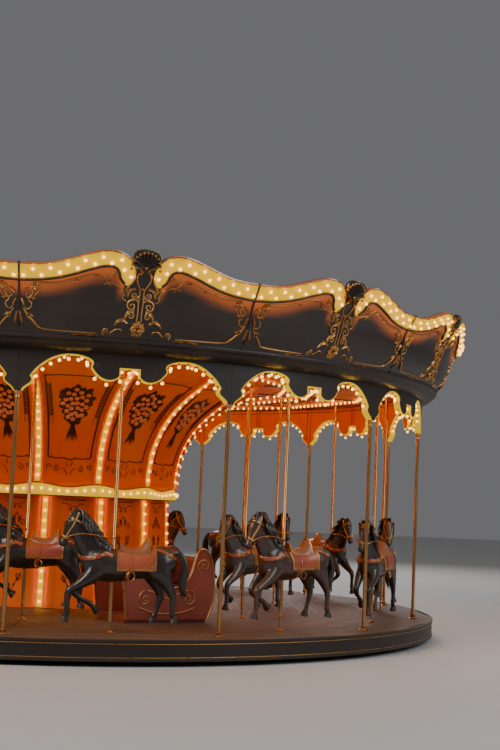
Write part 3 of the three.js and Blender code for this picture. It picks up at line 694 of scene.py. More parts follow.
# Ceiling
# Painted plywood closes the space over the horses, with a radial batten under each sweep, three ring
# mouldings, and a guide bush for each horse pole.
CEILING_FACE = 3.6297
FITTING_HEIGHT = 3.6295
coat_node("ceiling", amber_panel)
batten_section = ((-0.03, 0), (0.03, 0), (0.024, 0.018), (-0.024, 0.018))
battens = strip("ceiling_battens", [[(x, -r, CEILING_FACE - d) for x, d in batten_section]
                                    for r in (3.2, 5.44)],
                umber_line)
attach(every_bay(battens, umber_line), "rotor")
rings = lines_piece("ceiling_mouldings", [round_mast(r, np.linspace(0, BAY_ANGLE, 7), 3.626)
                                          for r in (3.42, 4.3, 5.28)], thick=[[0.01] * 7] * 3)
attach(every_bay(rings, umber_line, 5), "rotor")
BUSH_BORE = 0.0228
bush = lathe("bush_unit", [(BUSH_BORE, 0), (0.045, 0), (0.045, 0.006), (0.03, 0.012), (BUSH_BORE, 0.012)], 16,
             polished_brass)
bushes = at_points("pole_bushes", [round_mast(r, a, FITTING_HEIGHT) for _, r, a in horse_places],
                   (0, 0, -1), bush, polished_brass)
bpy.data.objects.remove(bush)
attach(bushes, "rotor")

# Lamps of the drum, the belt and the ceiling
# Small frosted globes stand in turned brass cups, screwed through the face of the boards. Those of the belt
# stand 120 mm apart, and those of the ribs 140 mm.
LAMP_RADIUS = 0.022
BELT_LAMPS = 7
lamp_globe = lathe("lamp_globe", [(0, 0.009), (0.013, 0.01), (LAMP_RADIUS, 0.027), (0.014, 0.044), (0, 0.05)],
                   8, lamp_glass)
lamp_cup = lathe("lamp_cup", [(0, -0.022), (0.017, -0.022), (0.014, 0.011), (0, 0.011)], 7, polished_brass)


def lamps_at(name, points, ways, body):
    """Lamps at given places of one bay, each facing its own way, in every bay."""
    for suffix, unit, material, slot in (("globes", lamp_globe, lamp_glass, "belt_glow"),
                                         ("cups", lamp_cup, polished_brass, "pole_brass")):
        piece = at_points(f"{name}_{suffix}", points, ways, unit, material)
        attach(every_bay(piece, material), body)


spots, ways = [], []
for face, start, spacing in ((flare, 0.1, 0.138), (drum, 0.08, 0.14)):
    run = np.arange(start, face.s[-1] - 0.06, spacing)
    spots.append(face.at(0.0, run, 0.018, rib=True))
    ways.append(face.way(run, rib=True))
across = (np.arange(BELT_LAMPS) + 0.5) / BELT_LAMPS * 2 * belt_half - belt_half
spots.append(belt.at(across, 0.085 - 0.016 * np.cos(math.pi * across / belt_half), 0.01))
ways.append(belt.way(np.zeros(BELT_LAMPS)))
lamps_at("drum_lamps", np.concatenate(spots), np.concatenate(ways), "rotor")
spots = []
for apothem, count in ((3.45, 7), (3.91, 10), (4.77, 17)):
    across = ((np.arange(count) + 0.5) / count * 2 - 1) * apothem * math.tan(HALF_BAY)
    spots += [round_mast(math.hypot(apothem, x), HALF_BAY + math.atan2(x, apothem), FITTING_HEIGHT)
              for x in across]
lamps_at("ceiling_lamps", spots, (0, 0, -1), "rotor")

# Pressed and painted ornament of the drum and the flare
# Thin pressed mouldings are pinned to the panels and picked out by hand: a frame, a garland up each side
# and a bouquet of blossoms on the flare, and scrollwork between the pilasters of the drum.
foliage_paint = finish_of("foliage_paint", (0.05, 0.014, 0.006), (0.085, 0.026, 0.009), (0.2, 0.06, 0.02),
                          rough=(0.4, 0.6), wear=0.1, dust=0.1, bump=0.15, fineness=90)
blossom_paint = finish_of("blossom_paint", (0.86, 0.24, 0.085), (0.9, 0.34, 0.15), (0.6, 0.12, 0.04),
                          rough=(0.4, 0.6), wear=0.06, dust=0.1, bump=0.15, fineness=90, grime_and_shade=0.9)


def gathered(parts):
    """Several (points, faces) as one."""
    points, faces, shift = [], [], 0
    for p, f in parts:
        points.append(np.asarray(p, float))
        faces += [tuple(k + shift for k in face) for face in f]
        shift += len(p)
    return np.concatenate(points), faces


def unit_ways(ways, least=0.0):
    """The ways, each brought to a length of one."""
    return ways / (np.linalg.norm(ways, axis=1, keepdims=True) + least)


def leaf_widths(count, width, lobes=0):
    """Widths along a leaf, pointed at both ends, with a number of lobes."""
    t = np.linspace(0, 1, count)
    shape = np.sin(np.pi * np.clip(0.12 + 0.88 * t, 0, 1)) ** 0.75
    return width * shape * (1 + (0.22 * np.sin(2 * np.pi * lobes * t) if lobes else 0)) + 0.0015


def blade(spine, widths, height, surface, base=0.0):
    """A leaf with a hollow midrib that lies on a surface along a spine of (x, z) points."""
    spine = np.asarray(spine, float)
    heights = np.maximum(np.asarray(widths) / max(widths), 0.15) * height
    section = ((-1, 0.0), (-0.55, 1.0), (0, 0.6), (0.55, 1.0), (1, 0.0), (0, -0.2))
    rows = [[surface(*(place + (-along[1] * wide * w, along[0] * wide * w)), base + tall * h)
             for w, h in section]
            for place, along, wide, tall in zip(
                spine, unit_ways(np.gradient(spine, axis=0)), widths, heights)]
    return np.array(rows, float).reshape(-1, 3), ring_faces(len(rows), len(section))


def curl(centre, start, end, angle, turns, count=16):
    """A volute of (x, z) points that closes in on its centre. Turns may be negative."""
    t = np.linspace(0, 1, count)
    radius = start * (end / start) ** t
    spin = math.radians(angle) + 2 * math.pi * turns * t
    return np.stack([centre[0] + radius * np.cos(spin), centre[1] + radius * np.sin(spin)], axis=1)


def both_sides(lines):
    """The lines and their mirror images."""
    lines = [np.asarray(line, float) for line in lines]
    return lines + [line * (-1, 1) for line in lines]


def rod_lines(name, surface, lines, proud, sizes):
    """Half-round rods on a surface along (x, s) lines, each tapering from its first size to its second."""
    thick = [np.linspace(*size, len(line)) for line, size in zip(lines, sizes)]
    return lines_piece(name, [surface(line[:, 0], line[:, 1], proud) for line in lines], thick=thick)


def edge_of(share, low, high, count):
    """A line up the flare at a distance in from the pilaster's rail."""
    s = np.linspace(low, high, count)
    return np.stack([flare.half_width(s) - share, s], axis=1)


sides_line = edge_of(0.055, 0.37, 1.78, 11)
foot_dip = smooth_line([(0.0, 0.335), (0.055, 0.345), (0.075, 0.365), (0.1, 0.352),
                        (sides_line[0][0] - 0.075, 0.352), (sides_line[0][0] - 0.045, 0.372),
                        (sides_line[0][0] - 0.02, 0.352), sides_line[0]], 3)
head_line = np.array([(0.0, 1.8), (0.3, 1.795), (0.46, 1.76), tuple(sides_line[-1])])
garland_line = edge_of(0.1, 0.98, 1.52, 10)
lines = [sides_line, foot_dip, head_line, edge_of(0.076, 0.86, 1.62, 8), edge_of(0.124, 0.86, 1.62, 8),
         curl((0.16, 0.2), 0.055, 0.012, 100, -1.3), curl((0.27, 0.235), 0.045, 0.012, -60, 1.2),
         smooth_line([(0.02, 0.12), (0.06, 0.2), (0.1, 0.215)], 4),
         smooth_line([(0.02, 0.24), (0.045, 0.29), (0.02, 0.31)], 4)]
sizes = [(0.011, 0.011)] + [(0.008, 0.008)] * 2 + [(0.0035, 0.0035)] * 2 + [(0.006, 0.004)] * 4
frames = rod_lines("flare_frames", flare.at, both_sides(lines), 0.002, sizes * 2)
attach(every_bay(frames, umber_line, 4), "rotor")

leaves = []
for (x, s), way in zip(garland_line, np.gradient(garland_line, axis=0)):
    for lean in (-1, 1):
        spine = np.array([(x, s), (x + 0.01 * lean, s + 0.03), (x + 0.014 * lean + way[0], s + 0.062)])
        for side in (1, -1):
            leaves.append(blade(spine * (side, 1), [0.003, 0.009, 0.002], 0.008, flare.at))
chance = random.Random(5)
BOUQUET = 1.21
BLOSSOMS = 26
GOLDEN_ANGLE = 2.39996
EGG = 0.35
for k in range(24):
    a = GOLDEN_ANGLE * k
    far = chance.uniform(0.98, 1.16)
    tip = np.array((0.22 * far * math.cos(a) * (1 + EGG * math.sin(a)), 0.345 * far * math.sin(a)))
    leaves.append(blade(np.array([(0, BOUQUET) + tip * share for share in (0.12, 0.7, 0.9, 1.0)]),
                        [0.016, 0.052, 0.04, 0.004], 0.008, flare.at))
for k in range(9):
    lean = (k - 4) / 4
    spine = [(0.045 * lean, BOUQUET - 0.26), (0.014 * lean, BOUQUET - 0.36), (0.04 * lean, BOUQUET - 0.45),
             (0.085 * lean, BOUQUET - 0.6 - 0.025 * math.cos(5 * k))]
    leaves.append(blade(smooth_line(spine, 2), leaf_widths(7, 0.01), 0.01, flare.at))
foliage = right_way_out(new_piece("flare_foliage", *gathered(leaves)), 60)
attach(every_bay(foliage, foliage_paint), "rotor")

petals = [(math.radians(36 * k), 1.0 if k % 2 else 0.8) for k in range(10)]
rings = [[(r * wide * math.cos(a), r * wide * math.sin(a), h) for a, wide in petals]
         for r, h in ((0.036, 0.0), (0.038, 0.011), (0.021, 0.019), (0.008, 0.014))]
blossom_unit = strip("blossom_unit", rings, blossom_paint)
turn = GOLDEN_ANGLE * np.arange(BLOSSOMS) + 0.6
out = np.sqrt((np.arange(BLOSSOMS) + 0.4) / BLOSSOMS)
rise = BOUQUET + 0.295 * out * np.sin(turn)
blossoms = at_points(
    "flare_blossoms", flare.at(0.19 * out * np.cos(turn) * (1 + EGG * out * np.sin(turn)), rise, 0.006),
    flare.way(rise), blossom_unit, blossom_paint)
bpy.data.objects.remove(blossom_unit)
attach(every_bay(blossoms, blossom_paint), "rotor")

lines = [curl((0.085, 1.16), 0.06, 0.012, 180, -1.5), curl((0.095, 0.98), 0.052, 0.012, 120, 1.4),
         curl((0.08, 0.62), 0.062, 0.012, 180, -1.5), curl((0.1, 0.42), 0.052, 0.012, 120, 1.4),
         smooth_line([(0.012, 1.3), (0.025, 1.22), (0.025, 1.16)], 3),
         smooth_line([(0.11, 1.03), (0.045, 0.9), (0.02, 0.76), (0.018, 0.64)], 3),
         smooth_line([(0.12, 0.47), (0.05, 0.34), (0.015, 0.24)], 3),
         smooth_line([(0.0, 1.41), (0.06, 1.425), (0.1, 1.455), (0.13, 1.445), (0.165, 1.46)], 3),
         smooth_line([(0.0, 1.5), (0.165, 1.5)], 2), curl((0.045, 1.375), 0.024, 0.008, 60, 1.1)]
scrolls = rod_lines("drum_scrolls", drum.at, both_sides(lines), 0.002,
                    ([(0.0075, 0.004)] * 7 + [(0.005, 0.005)] * 3) * 2)
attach(every_bay(scrolls, umber_line, 4), "rotor")
leaves = []
for x, s, a, size in ((0.03, 1.2, 60, 0.07), (0.06, 0.9, 30, 0.06), (0.03, 0.8, 70, 0.07),
                      (0.06, 0.36, 30, 0.06), (0.02, 0.28, 60, 0.06), (0.015, 0.66, 75, 0.08)):
    way = np.array((math.cos(math.radians(a)), math.sin(math.radians(a))))
    for side in (1, -1):
        leaves.append(blade([((x, s) + way * size * t) * np.array((side, 1)) for t in (0, 0.35, 0.7, 1)],
                            leaf_widths(4, 0.014), 0.006, drum.at))
sprays = right_way_out(new_piece("drum_leaves", *gathered(leaves)), 60)
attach(every_bay(sprays, foliage_paint), "rotor")

# Valance
# A double skirt of plywood hangs inside the crown, nearly black outside and amber inside. Its lower edge,
# cut in humps and lobes and rolled with a bead, glows with painted lamp light and carries a row of lamps that
# point away from it.
VALANCE_RADIUS = 5.5
VALANCE_TOP = 3.629
VALANCE_FOOT = 2.981
VALANCE_HALF = 0.0445
BOARD_SPLIT = 0.0005


def plate(name, outline, low, high, surface, step, material):
    """A board cut to an outline of (x, z) points, low to high above a surface, bent to it in narrow steps."""
    shape = bmesh.new()
    rims = [[shape.verts.new((x, level, z)) for x, z in outline] for level in (low, high)]
    shape.faces.new(rims[0])
    shape.faces.new(rims[1][::-1])
    for k in range(len(outline)):
        m = (k + 1) % len(outline)
        shape.faces.new((rims[0][k], rims[1][k], rims[1][m], rims[0][m]))
    for normal, values in ((Vector((1, 0, 0)), [x for x, _ in outline]),
                           (Vector((0, 0, 1)), [z for _, z in outline])):
        for place in np.arange(min(values) + step, max(values) - step / 3, step):
            bmesh.ops.bisect_plane(shape, geom=[*shape.verts, *shape.edges, *shape.faces], dist=1e-6,
                                   plane_co=normal * place, plane_no=normal)
    bmesh.ops.triangulate(shape, faces=shape.faces)
    bmesh.ops.recalc_face_normals(shape, faces=shape.faces)
    spots = np.array([v.co for v in shape.verts])
    for vertex, spot in zip(shape.verts, surface(spots[:, 0], spots[:, 2], spots[:, 1])):
        vertex.co = spot
    mesh = bpy.data.meshes.new(name)
    shape.to_mesh(mesh)
    shape.free()
    mesh.materials.append(material)
    return right_way_out(in_scene(name, mesh))


def valance_at(x, z, proud):
    """Points on the skirt, x along it from the middle of a bay, at a height z."""
    return round_mast(VALANCE_RADIUS + proud, HALF_BAY + np.asarray(x) / VALANCE_RADIUS, z)


corner = VALANCE_RADIUS * HALF_BAY - 0.001
half_edge = np.concatenate([
    [(0.0, 3.291), (0.06, 3.291), (0.12, 3.291), (0.12, 3.248)],
    smooth_line([(0.12, 3.205), (0.14, 3.178), (0.195, 3.151), (0.265, 3.15), (0.34, 3.183), (0.405, 3.248),
                 (0.427, 3.287)], 3),
    smooth_line([(0.412, 3.312), (0.424, 3.355), (0.51, 3.397), (0.64, 3.415), (0.775, 3.402), (0.905, 3.348),
                 (1.035, 3.245), (1.108, 3.15)], 4),
    smooth_line([(1.086, 3.113), (1.096, 3.078), (1.15, 3.035), (1.182, 3.008), (1.195, VALANCE_FOOT)], 2),
])
edge = np.concatenate([half_edge[:0:-1] * (-1, 1), half_edge])
skirt = [(-corner, VALANCE_TOP), (-corner, VALANCE_FOOT), *map(tuple, edge), (corner, VALANCE_FOOT),
         (corner, VALANCE_TOP)]
for name, low, high, material in (("valance_outside", BOARD_SPLIT, VALANCE_HALF, crown_black),
                                  ("valance_inside", -VALANCE_HALF, -BOARD_SPLIT, amber_panel)):
    board = plate(name, skirt, low, high, valance_at, 0.16, material)
    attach(every_bay(board, material, sharp=35), "rotor")
    if name == "valance_outside":
        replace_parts(board, "valance")

# The cut edge, whose face and the bead along its outer corner glow with painted lamp light
tangent = np.gradient(edge, axis=0)
edge_way = unit_ways(np.stack([tangent[:, 1], -tangent[:, 0]], axis=1))
drop = edge + 0.004 * edge_way
lit_edge = strip("valance_lit_edge", np.stack([
    valance_at(edge[:, 0], edge[:, 1], 0.043), valance_at(drop[:, 0], drop[:, 1], 0.041),
    valance_at(drop[:, 0], drop[:, 1], -0.041),
    valance_at(edge[:, 0], edge[:, 1], -0.043)], axis=1), lamp_bed)
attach(every_bay(lit_edge, lamp_bed), "rotor")
roll = edge + 0.006 * edge_way
edge_rolls = lines_piece(
    "valance_edge_rolls", [valance_at(roll[:, 0], roll[:, 1], p) for p in (0.037, -0.037)],
    thick=[[0.0085] * len(roll)] * 2)
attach(every_bay(edge_rolls, lamp_bed, 5), "rotor")


def run_along(line):
    """How far each point of a line is from its start."""
    return np.concatenate([[0], np.cumsum(np.linalg.norm(np.diff(line, axis=0), axis=1))])


def taken_at(places, run, values):
    """The values of a line's points at other places along it."""
    return np.stack([np.interp(places, run, column) for column in values.T], axis=1)


# Lamps along the cut edge
LAMP_SPACING = 0.118
FIRST_LAMP = 0.035
LAMP_OFF_EDGE = 0.026
EDGE_LAMP_DEPTH = -0.004
INNER_LINE_DEPTH = -0.046
bracket = len(smooth_line([(0, 0)] * 5, 2))
lamp_line = edge[bracket:-bracket]
run = run_along(lamp_line)
lamp_count = int((run[-1] - 2 * FIRST_LAMP) / LAMP_SPACING) + 1
lamp_places = np.linspace(FIRST_LAMP, run[-1] - FIRST_LAMP, lamp_count)
lamp_way = taken_at(lamp_places, run, edge_way[bracket:-bracket])
feet = taken_at(lamp_places, run, lamp_line) + LAMP_OFF_EDGE * lamp_way
edge_points = valance_at(feet[:, 0], feet[:, 1], EDGE_LAMP_DEPTH)
tips = valance_at(feet[:, 0] + lamp_way[:, 0], feet[:, 1] + lamp_way[:, 1], EDGE_LAMP_DEPTH)
lamps_at("valance_lamps", edge_points, tips - edge_points, "rotor")
inner_lines = lines_piece("valance_inner_lines", [
    [valance_at(x, z, INNER_LINE_DEPTH) for z in (3.06 if abs(x) > 1 else 3.32, 3.62)]
    for x in (-1.19, -0.03, 0.03, 1.19)
] + [valance_at(np.linspace(-corner, corner, 9), z, INNER_LINE_DEPTH) for z in (3.562, 3.623)],
    thick=[[0.005] * 2] * 4 + [[0.006] * 9] * 2)
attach(every_bay(inner_lines, umber_line, 6), "rotor")

# Crown boards
# Fourteen moulded boards lean outwards over a cove. Each is nearly black, with a painted amber glow of lamp
# light under the lamp channel, a carved edge, and a thin joint to its neighbours that a dark post covers.
crown = Face([(5.758, 3.6), (5.764, 3.64), (5.836, 3.716), (5.885, 3.83), (5.921, 3.93), (5.967, 4.084),
              (6.065, 4.23), (6.125, 4.35), (6.218, 4.545)], 5)
JOINT_GAP = 0.0015
CROWN_FOOT = 3.602
CROWN_WALL = 0.045
CREST_RADIUS = 6.1
PAINTED_GLOW_HEIGHT = 0.17
POST_RADIUS = 6.0
POST_TOP = 4.325


def crown_at(x, z, proud):
    """Points on a crown board, x along it from its middle, at a height z."""
    s = np.interp(z, crown.height, crown.s)
    radius, out, up = (np.interp(s, crown.s, v) for v in (crown.radius, crown.out, crown.up))
    return round_mast(radius + proud * out, HALF_BAY + np.asarray(x) / radius, np.asarray(z) + proud * up)


def crown_way(x, z):
    """The way straight out of a crown board."""
    return crown_at(x, z, 1.0) - crown_at(x, z, 0.0)


channel_top = smooth_line([(1.362, 4.305), (1.2, 4.308), (1.045, 4.322), (0.892, 4.361), (0.71, 4.418),
                           (0.535, 4.47), (0.39, 4.49), (0.262, 4.47), (0.167, 4.411), (0.114, 4.334),
                           (0.104, 4.25), (0.12, 4.198), (0.16, 4.156)], 4)
channel_bottom = smooth_line([(1.352, 4.146), (1.17, 4.154), (0.988, 4.177), (0.82, 4.216), (0.642, 4.275),
                              (0.465, 4.33), (0.355, 4.335), (0.29, 4.295), (0.262, 4.225),
                              (0.212, 4.175)], 4)
sky = [(1.4, 4.312), *((x, z + 0.008) for x, z in channel_top if x > 0.115 and z > 4.3), (0.1, 4.326),
       (0.0, 4.33)]
sky_x, sky_z = np.array(sky[::-1]).T

columns = np.unique(np.concatenate([np.linspace(-1, 1, 37), np.linspace(-0.14, 0.14, 9)]))
levels = np.linspace(0, 1, 13)
spread = columns * (HALF_BAY * CREST_RADIUS - JOINT_GAP)
for _ in range(4):
    tops = np.interp(np.abs(spread), sky_x, sky_z)
    spread = columns * (HALF_BAY * np.interp(tops, crown.height, crown.radius) - JOINT_GAP)
heights = CROWN_FOOT + levels[:, None] * (tops - CROWN_FOOT)
offsets = columns * (HALF_BAY * np.interp(heights, crown.height, crown.radius) - JOINT_GAP)
front, back = crown_at(offsets, heights, 0.0), crown_at(offsets, heights, -CROWN_WALL)
grid = np.concatenate([front.reshape(-1, 3), back.reshape(-1, 3)])
crown_boards = new_piece("crown_boards", grid, slab_faces(*heights.shape))
under_channel = np.interp(np.abs(offsets), *np.array(sorted(map(tuple, channel_bottom))).T)
# Painted lamp light: amber just under the lamp channel, fading into the black paint lower down
painted_glow = np.clip(1.12 - (under_channel - heights) / PAINTED_GLOW_HEIGHT, 0, 1) * (np.abs(offsets) > 0.2)
marked(crown_boards, "painted_glow", np.concatenate([painted_glow.ravel(), np.zeros(heights.size)]))
right_way_out(crown_boards)

crown_paint = finish_of("crown_paint", (0.015, 0.009, 0.006), (0.028, 0.016, 0.01), (0.14, 0.07, 0.03),
                        rough=(0.28, 0.48), wear=0.13, dust=0.16, bump=0.12, fineness=70, coat=0.3)
# Painted lamp light under the channel: an amber colour that also glows a little, though the board is no lamp
tree, shader = crown_paint.node_tree, shader_of(crown_paint)
under_paint = shader.inputs["Base Color"].links[0].from_socket
painted_glow_node = node(tree, "ShaderNodeAttribute", attribute_name="painted_glow")
painted_glow_share = reckoned(tree, "POWER", painted_glow_node.outputs["Fac"], 1.3)
tree.links.new(mixed(tree, painted_glow_share, under_paint, (0.85, 0.2, 0.02, 1)), shader.inputs["Base Color"])
tree.links.new(mixed(tree, painted_glow_share, (0, 0, 0, 1), (1.0, 0.16, 0.012, 1)), shader.inputs["Emission Color"])
shader.inputs["Emission Strength"].default_value = 0.22
grown(crown_boards, (round_the_mast, {"Material": crown_paint}))
crown_boards.data.set_sharp_from_angle(angle=math.radians(40))
board_nodes = [f"crown_board_{i + 1:02d}" for i in range(BAYS)]
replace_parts(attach(crown_boards, "rotor"), *board_nodes)

cove = lathe("crown_cove", [(5.5455, 3.441), (5.575, 3.447), (5.625, 3.464), (5.672, 3.488), (5.702, 3.514),
                            (5.718, 3.538), (5.73, 3.548), (5.748, 3.552), (5.756, 3.56), (5.76, 3.58),
                            (5.756, 3.598), (5.745, 3.601), (5.7, 3.601), (5.7, 3.655), (5.5455, 3.655)],
             112, crown_black)
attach(cove, "rotor")
posts = strip("crown_joint_posts", [[round_mast(r + p, x / POST_RADIUS, z) for x, p in (
    (-0.013, -0.01), (0.013, -0.01), (0.011, 0.014), (-0.011, 0.014))]
    for r, z in zip(crown.radius, crown.height) if z < POST_TOP], crown_black)
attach(every_bay(posts, crown_black), "rotor")

# Four battens behind each board, that stiffen it
batten_x, batten_depth = np.array([-0.022, 0.022, 0.022, -0.022]), np.array([-0.044, -0.044, -0.074, -0.074])
battens = [[crown_at(x + batten_x, z, batten_depth) for z in np.linspace(3.72, 4.2, 5)]
           for x in (-1.0, -0.34, 0.34, 1.0)]
crown_braces = right_way_out(new_piece("crown_braces", *gathered(
    [(np.concatenate(rows), ring_faces(len(rows), 4)) for rows in battens])))
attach(every_bay(crown_braces, frame_enamel, sharp=30), "rotor")

# Lamp channel
# A shallow yellow channel follows the crest of each board and curls in beside the shell, glowing with painted
# lamp light. Two staggered rows of lamps stand in it, between gilt lips that end in a small volute.
CHANNEL_FACE = 0.005
channel = [*map(tuple, channel_top), (0.19, 4.159), *map(tuple, channel_bottom[::-1])]
for name, side in (("crown_channels_right", 1), ("crown_channels_left", -1)):
    piece = plate(name, [(side * x, z) for x, z in channel], -0.002, CHANNEL_FACE, crown_at, 0.11, lamp_bed)
    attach(every_bay(piece, lamp_bed), "rotor")
for name, line, size, material in (("crown_channel_lips", channel_top, 0.0095, gilding),
                                   ("crown_channel_sills", channel_bottom, 0.017, crown_black)):
    lips = rod_lines(name, crown_at, both_sides([line]), 0.01, [(size, size)] * 2)
    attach(every_bay(lips, material, 6), "rotor")


def along_line(line, shares):
    """Places at shares of a line's length."""
    run = run_along(line)
    return taken_at(shares * run[-1], run, line)


CHANNEL_LAMPS = 14
ROOM_AT_JOINT = 0.55
ROOM_IN_ALL = 0.2
STAGGER_ACROSS = 0.03
middle = (along_line(channel_top, np.linspace(0, 0.97, 40))
          + along_line(channel_bottom, np.linspace(0, 1, 40))) / 2
steps = (np.arange(CHANNEL_LAMPS) + ROOM_AT_JOINT) / (CHANNEL_LAMPS + ROOM_IN_ALL)
ahead_of = along_line(middle, np.minimum(steps + 0.01, 1)) - along_line(middle, steps - 0.01)
across = unit_ways(np.stack([ahead_of[:, 1], -ahead_of[:, 0]], axis=1))
to_side = np.where(np.arange(CHANNEL_LAMPS) % 2, STAGGER_ACROSS, -STAGGER_ACROSS)[:, None]
lamp_spots = along_line(middle, steps) + across * to_side
lamp_spots = np.concatenate([lamp_spots, lamp_spots * (-1, 1)])
lamps_at("crown_lamps", crown_at(*lamp_spots.T, CHANNEL_FACE), crown_way(*lamp_spots.T), "rotor")

# Gilt carving of the crown
# Every board has the same pressed and gilded mouldings: a line that follows the channel, scrolls and leaves
# at the joints, a lyre with scrolls on the middle, and rods along the foot. They are pinned to the board.
carving = [
    ([(1.13, 4.123), (0.94, 4.132), (0.744, 4.184), (0.58, 4.238), (0.48, 4.244), (0.415, 4.205),
      (0.405, 4.165), (0.428, 4.148)], 0.013, 0.008),
    ([(0.385, 4.168), (0.34, 4.168), (0.29, 4.153), (0.245, 4.13), (0.212, 4.098),
      (0.178, 4.04)], 0.012, 0.005),
    (curl((0.33, 4.243), 0.052, 0.01, 200, -1.6), 0.009, 0.006),
    ([(0.262, 4.225), (0.268, 4.262), (0.285, 4.29)], 0.006, 0.004),
    ([(0.034, 4.326), (0.058, 4.294), (0.08, 4.243), (0.066, 4.19), (0.034, 4.14), (0.022, 4.09),
      (0.026, 3.98), (0.022, 3.86), (0.028, 3.775)], 0.012, 0.009),
    (curl((0.15, 4.11), 0.04, 0.01, 100, -1.5), 0.011, 0.006),
    (curl((0.078, 4.062), 0.05, 0.01, 180, 1.7), 0.011, 0.006),
    (curl((0.098, 3.945), 0.072, 0.014, 110, -1.5), 0.014, 0.006),
    ([(0.024, 3.98), (0.05, 4.01), (0.08, 4.018)], 0.008, 0.008),
    ([(0.165, 3.99), (0.205, 4.02), (0.2, 4.06), (0.17, 4.052)], 0.008, 0.004),
    (curl((0.095, 3.84), 0.046, 0.01, 60, 1.4), 0.011, 0.006),
    ([(1.205, 3.768), (1.16, 3.728), (1.11, 3.684), (1.066, 3.658), (0.96, 3.646), (0.8, 3.641),
      (0.6, 3.64), (0.4, 3.64)], 0.014, 0.012),
    (curl((0.35, 3.662), 0.04, 0.01, -60, 1.5), 0.012, 0.007),
    ([(0.3, 3.65), (0.24, 3.69), (0.19, 3.69), (0.16, 3.66)], 0.012, 0.007),
    ([(1.215, 4.075), (1.185, 4.03), (1.195, 3.985), (1.232, 3.962), (1.258, 3.985),
      (1.24, 4.012)], 0.01, 0.005),
    ([(1.1, 4.07), (1.13, 4.02), (1.165, 3.975), (1.18, 3.93)], 0.008, 0.004),
    ([(1.225, 3.935), (1.185, 3.9), (1.195, 3.855), (1.235, 3.84), (1.256, 3.868)], 0.01, 0.005),
    ([(1.27, 3.85), (1.235, 3.8), (1.215, 3.76), (1.19, 3.735)], 0.009, 0.006),
]
lines, thick = [], []
for points, start, end in carving:
    line = points if isinstance(points, np.ndarray) else smooth_line(points, 3)
    size = np.linspace(start, end, len(line))
    size[-1] *= 0.5
    for mirror in (1, -1):
        lines.append(crown_at(mirror * line[:, 0], line[:, 1], 0.4 * size))
        thick.append(size)
scrollwork = lines_piece("crown_scrollwork", lines, thick=thick)
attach(every_bay(scrollwork, gilding, 5), "rotor")

# Leaves, shells and rosettes of the crown
# Cast resin ornaments, gilded, brown in their hollows with glaze and painted shade: a shell on the middle of
# each board with a rolled rim, a rosette under the lyre, leaves at the joints, and a running leaf border
# along the foot.
leaves = []
joint_leaves = [
    ([(1.29, 4.01), (1.262, 4.05), (1.232, 4.075)], 0.013, 0),
    ([(1.3, 3.95), (1.272, 3.905), (1.262, 3.86)], 0.013, 2),
    ([(1.235, 3.955), (1.18, 3.965), (1.14, 3.945)], 0.012, 2),
    ([(1.305, 3.82), (1.285, 3.75), (1.262, 3.69)], 0.014, 2),
    ([(1.24, 3.8), (1.19, 3.79), (1.15, 3.765)], 0.012, 2),
    ([(0.07, 4.13), (0.12, 4.12), (0.15, 4.08), (0.15, 4.03)], 0.017, 3),
    ([(0.06, 3.9), (0.11, 3.88), (0.15, 3.84), (0.16, 3.79)], 0.018, 3),
    ([(0.12, 3.76), (0.18, 3.79), (0.235, 3.77), (0.275, 3.72)], 0.017, 3),
    ([(0.415, 4.205), (0.4, 4.18), (0.372, 4.16), (0.345, 4.12)], 0.013, 2),
    ([(0.745, 4.184), (0.73, 4.17), (0.7, 4.16)], 0.008, 0),
    ([(0.56, 4.238), (0.535, 4.228), (0.5, 4.222)], 0.008, 0),
    ([(0.42, 3.606), (0.47, 3.618), (0.52, 3.608), (0.56, 3.612)], 0.01, 2),
    ([(0.58, 3.612), (0.63, 3.616), (0.68, 3.606), (0.73, 3.61)], 0.01, 2)]
for spine, width, lobes in joint_leaves:
    line = smooth_line(spine, 3)
    for side in (1, -1):
        leaves.append(blade(line * (side, 1), leaf_widths(len(line), width, lobes), 0.02, crown_at))

# Rosettes of petals round a button: a large one under the lyre, small ones at the joints
for x, z, ring_radius, petals, turned, width, height in (
        (0, 3.705, 0.088, 8, 0, 0.03, 0.026), (0, 3.705, 0.056, 8, 0.5, 0.02, 0.04),
        (1.165, 4.085, 0.05, 6, 0, 0.02, 0.022), (-1.165, 4.085, 0.05, 6, 0, 0.02, 0.022)):
    for k in range(petals):
        a = 2 * math.pi * (k + turned) / petals
        spine = [(x + r * math.cos(a), z + r * math.sin(a)) for r in (0.012, 0.6 * ring_radius, ring_radius)]
        leaves.append(blade(smooth_line(spine, 2), leaf_widths(5, width), height, crown_at))

for side in (1, -1):
    for spine, width in (
            ([(0.03, 4.332), (0.085, 4.352), (0.132, 4.4), (0.148, 4.452), (0.14, 4.495)], 0.013),
            ([(0.02, 4.32), (0.048, 4.3), (0.06, 4.262)], 0.014)):
        line = smooth_line(spine, 3) * (side, 1)
        leaves.append(blade(line, leaf_widths(len(line), width, 2), 0.034, crown_at, base=0.006))
crown_leaves = right_way_out(new_piece("crown_leaves", *gathered(leaves)), 60)
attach(every_bay(crown_leaves, gilding), "rotor")

# Shell: nine dark glazed flutes that fan out from the neck to a gilt beaded rim
SHELL_FOOT = 4.35
SHELL_RIM = 0.16
flutes = []
for k in range(-4, 5):
    a = math.radians(90 + k * 19)
    reach = 0.175 - 0.004 * abs(k)
    spine = [(t * reach * math.cos(a), SHELL_FOOT + t * reach * math.sin(a))
             for t in (0.05, 0.35, 0.7, 0.92, 1.0)]
    flutes.append(blade(spine, [0.005, 0.012, 0.023, 0.027, 0.016], 0.026, crown_at, base=0.012))
shells = right_way_out(new_piece("crown_shells", *gathered(flutes)), 60)
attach(every_bay(shells, crown_black), "rotor")

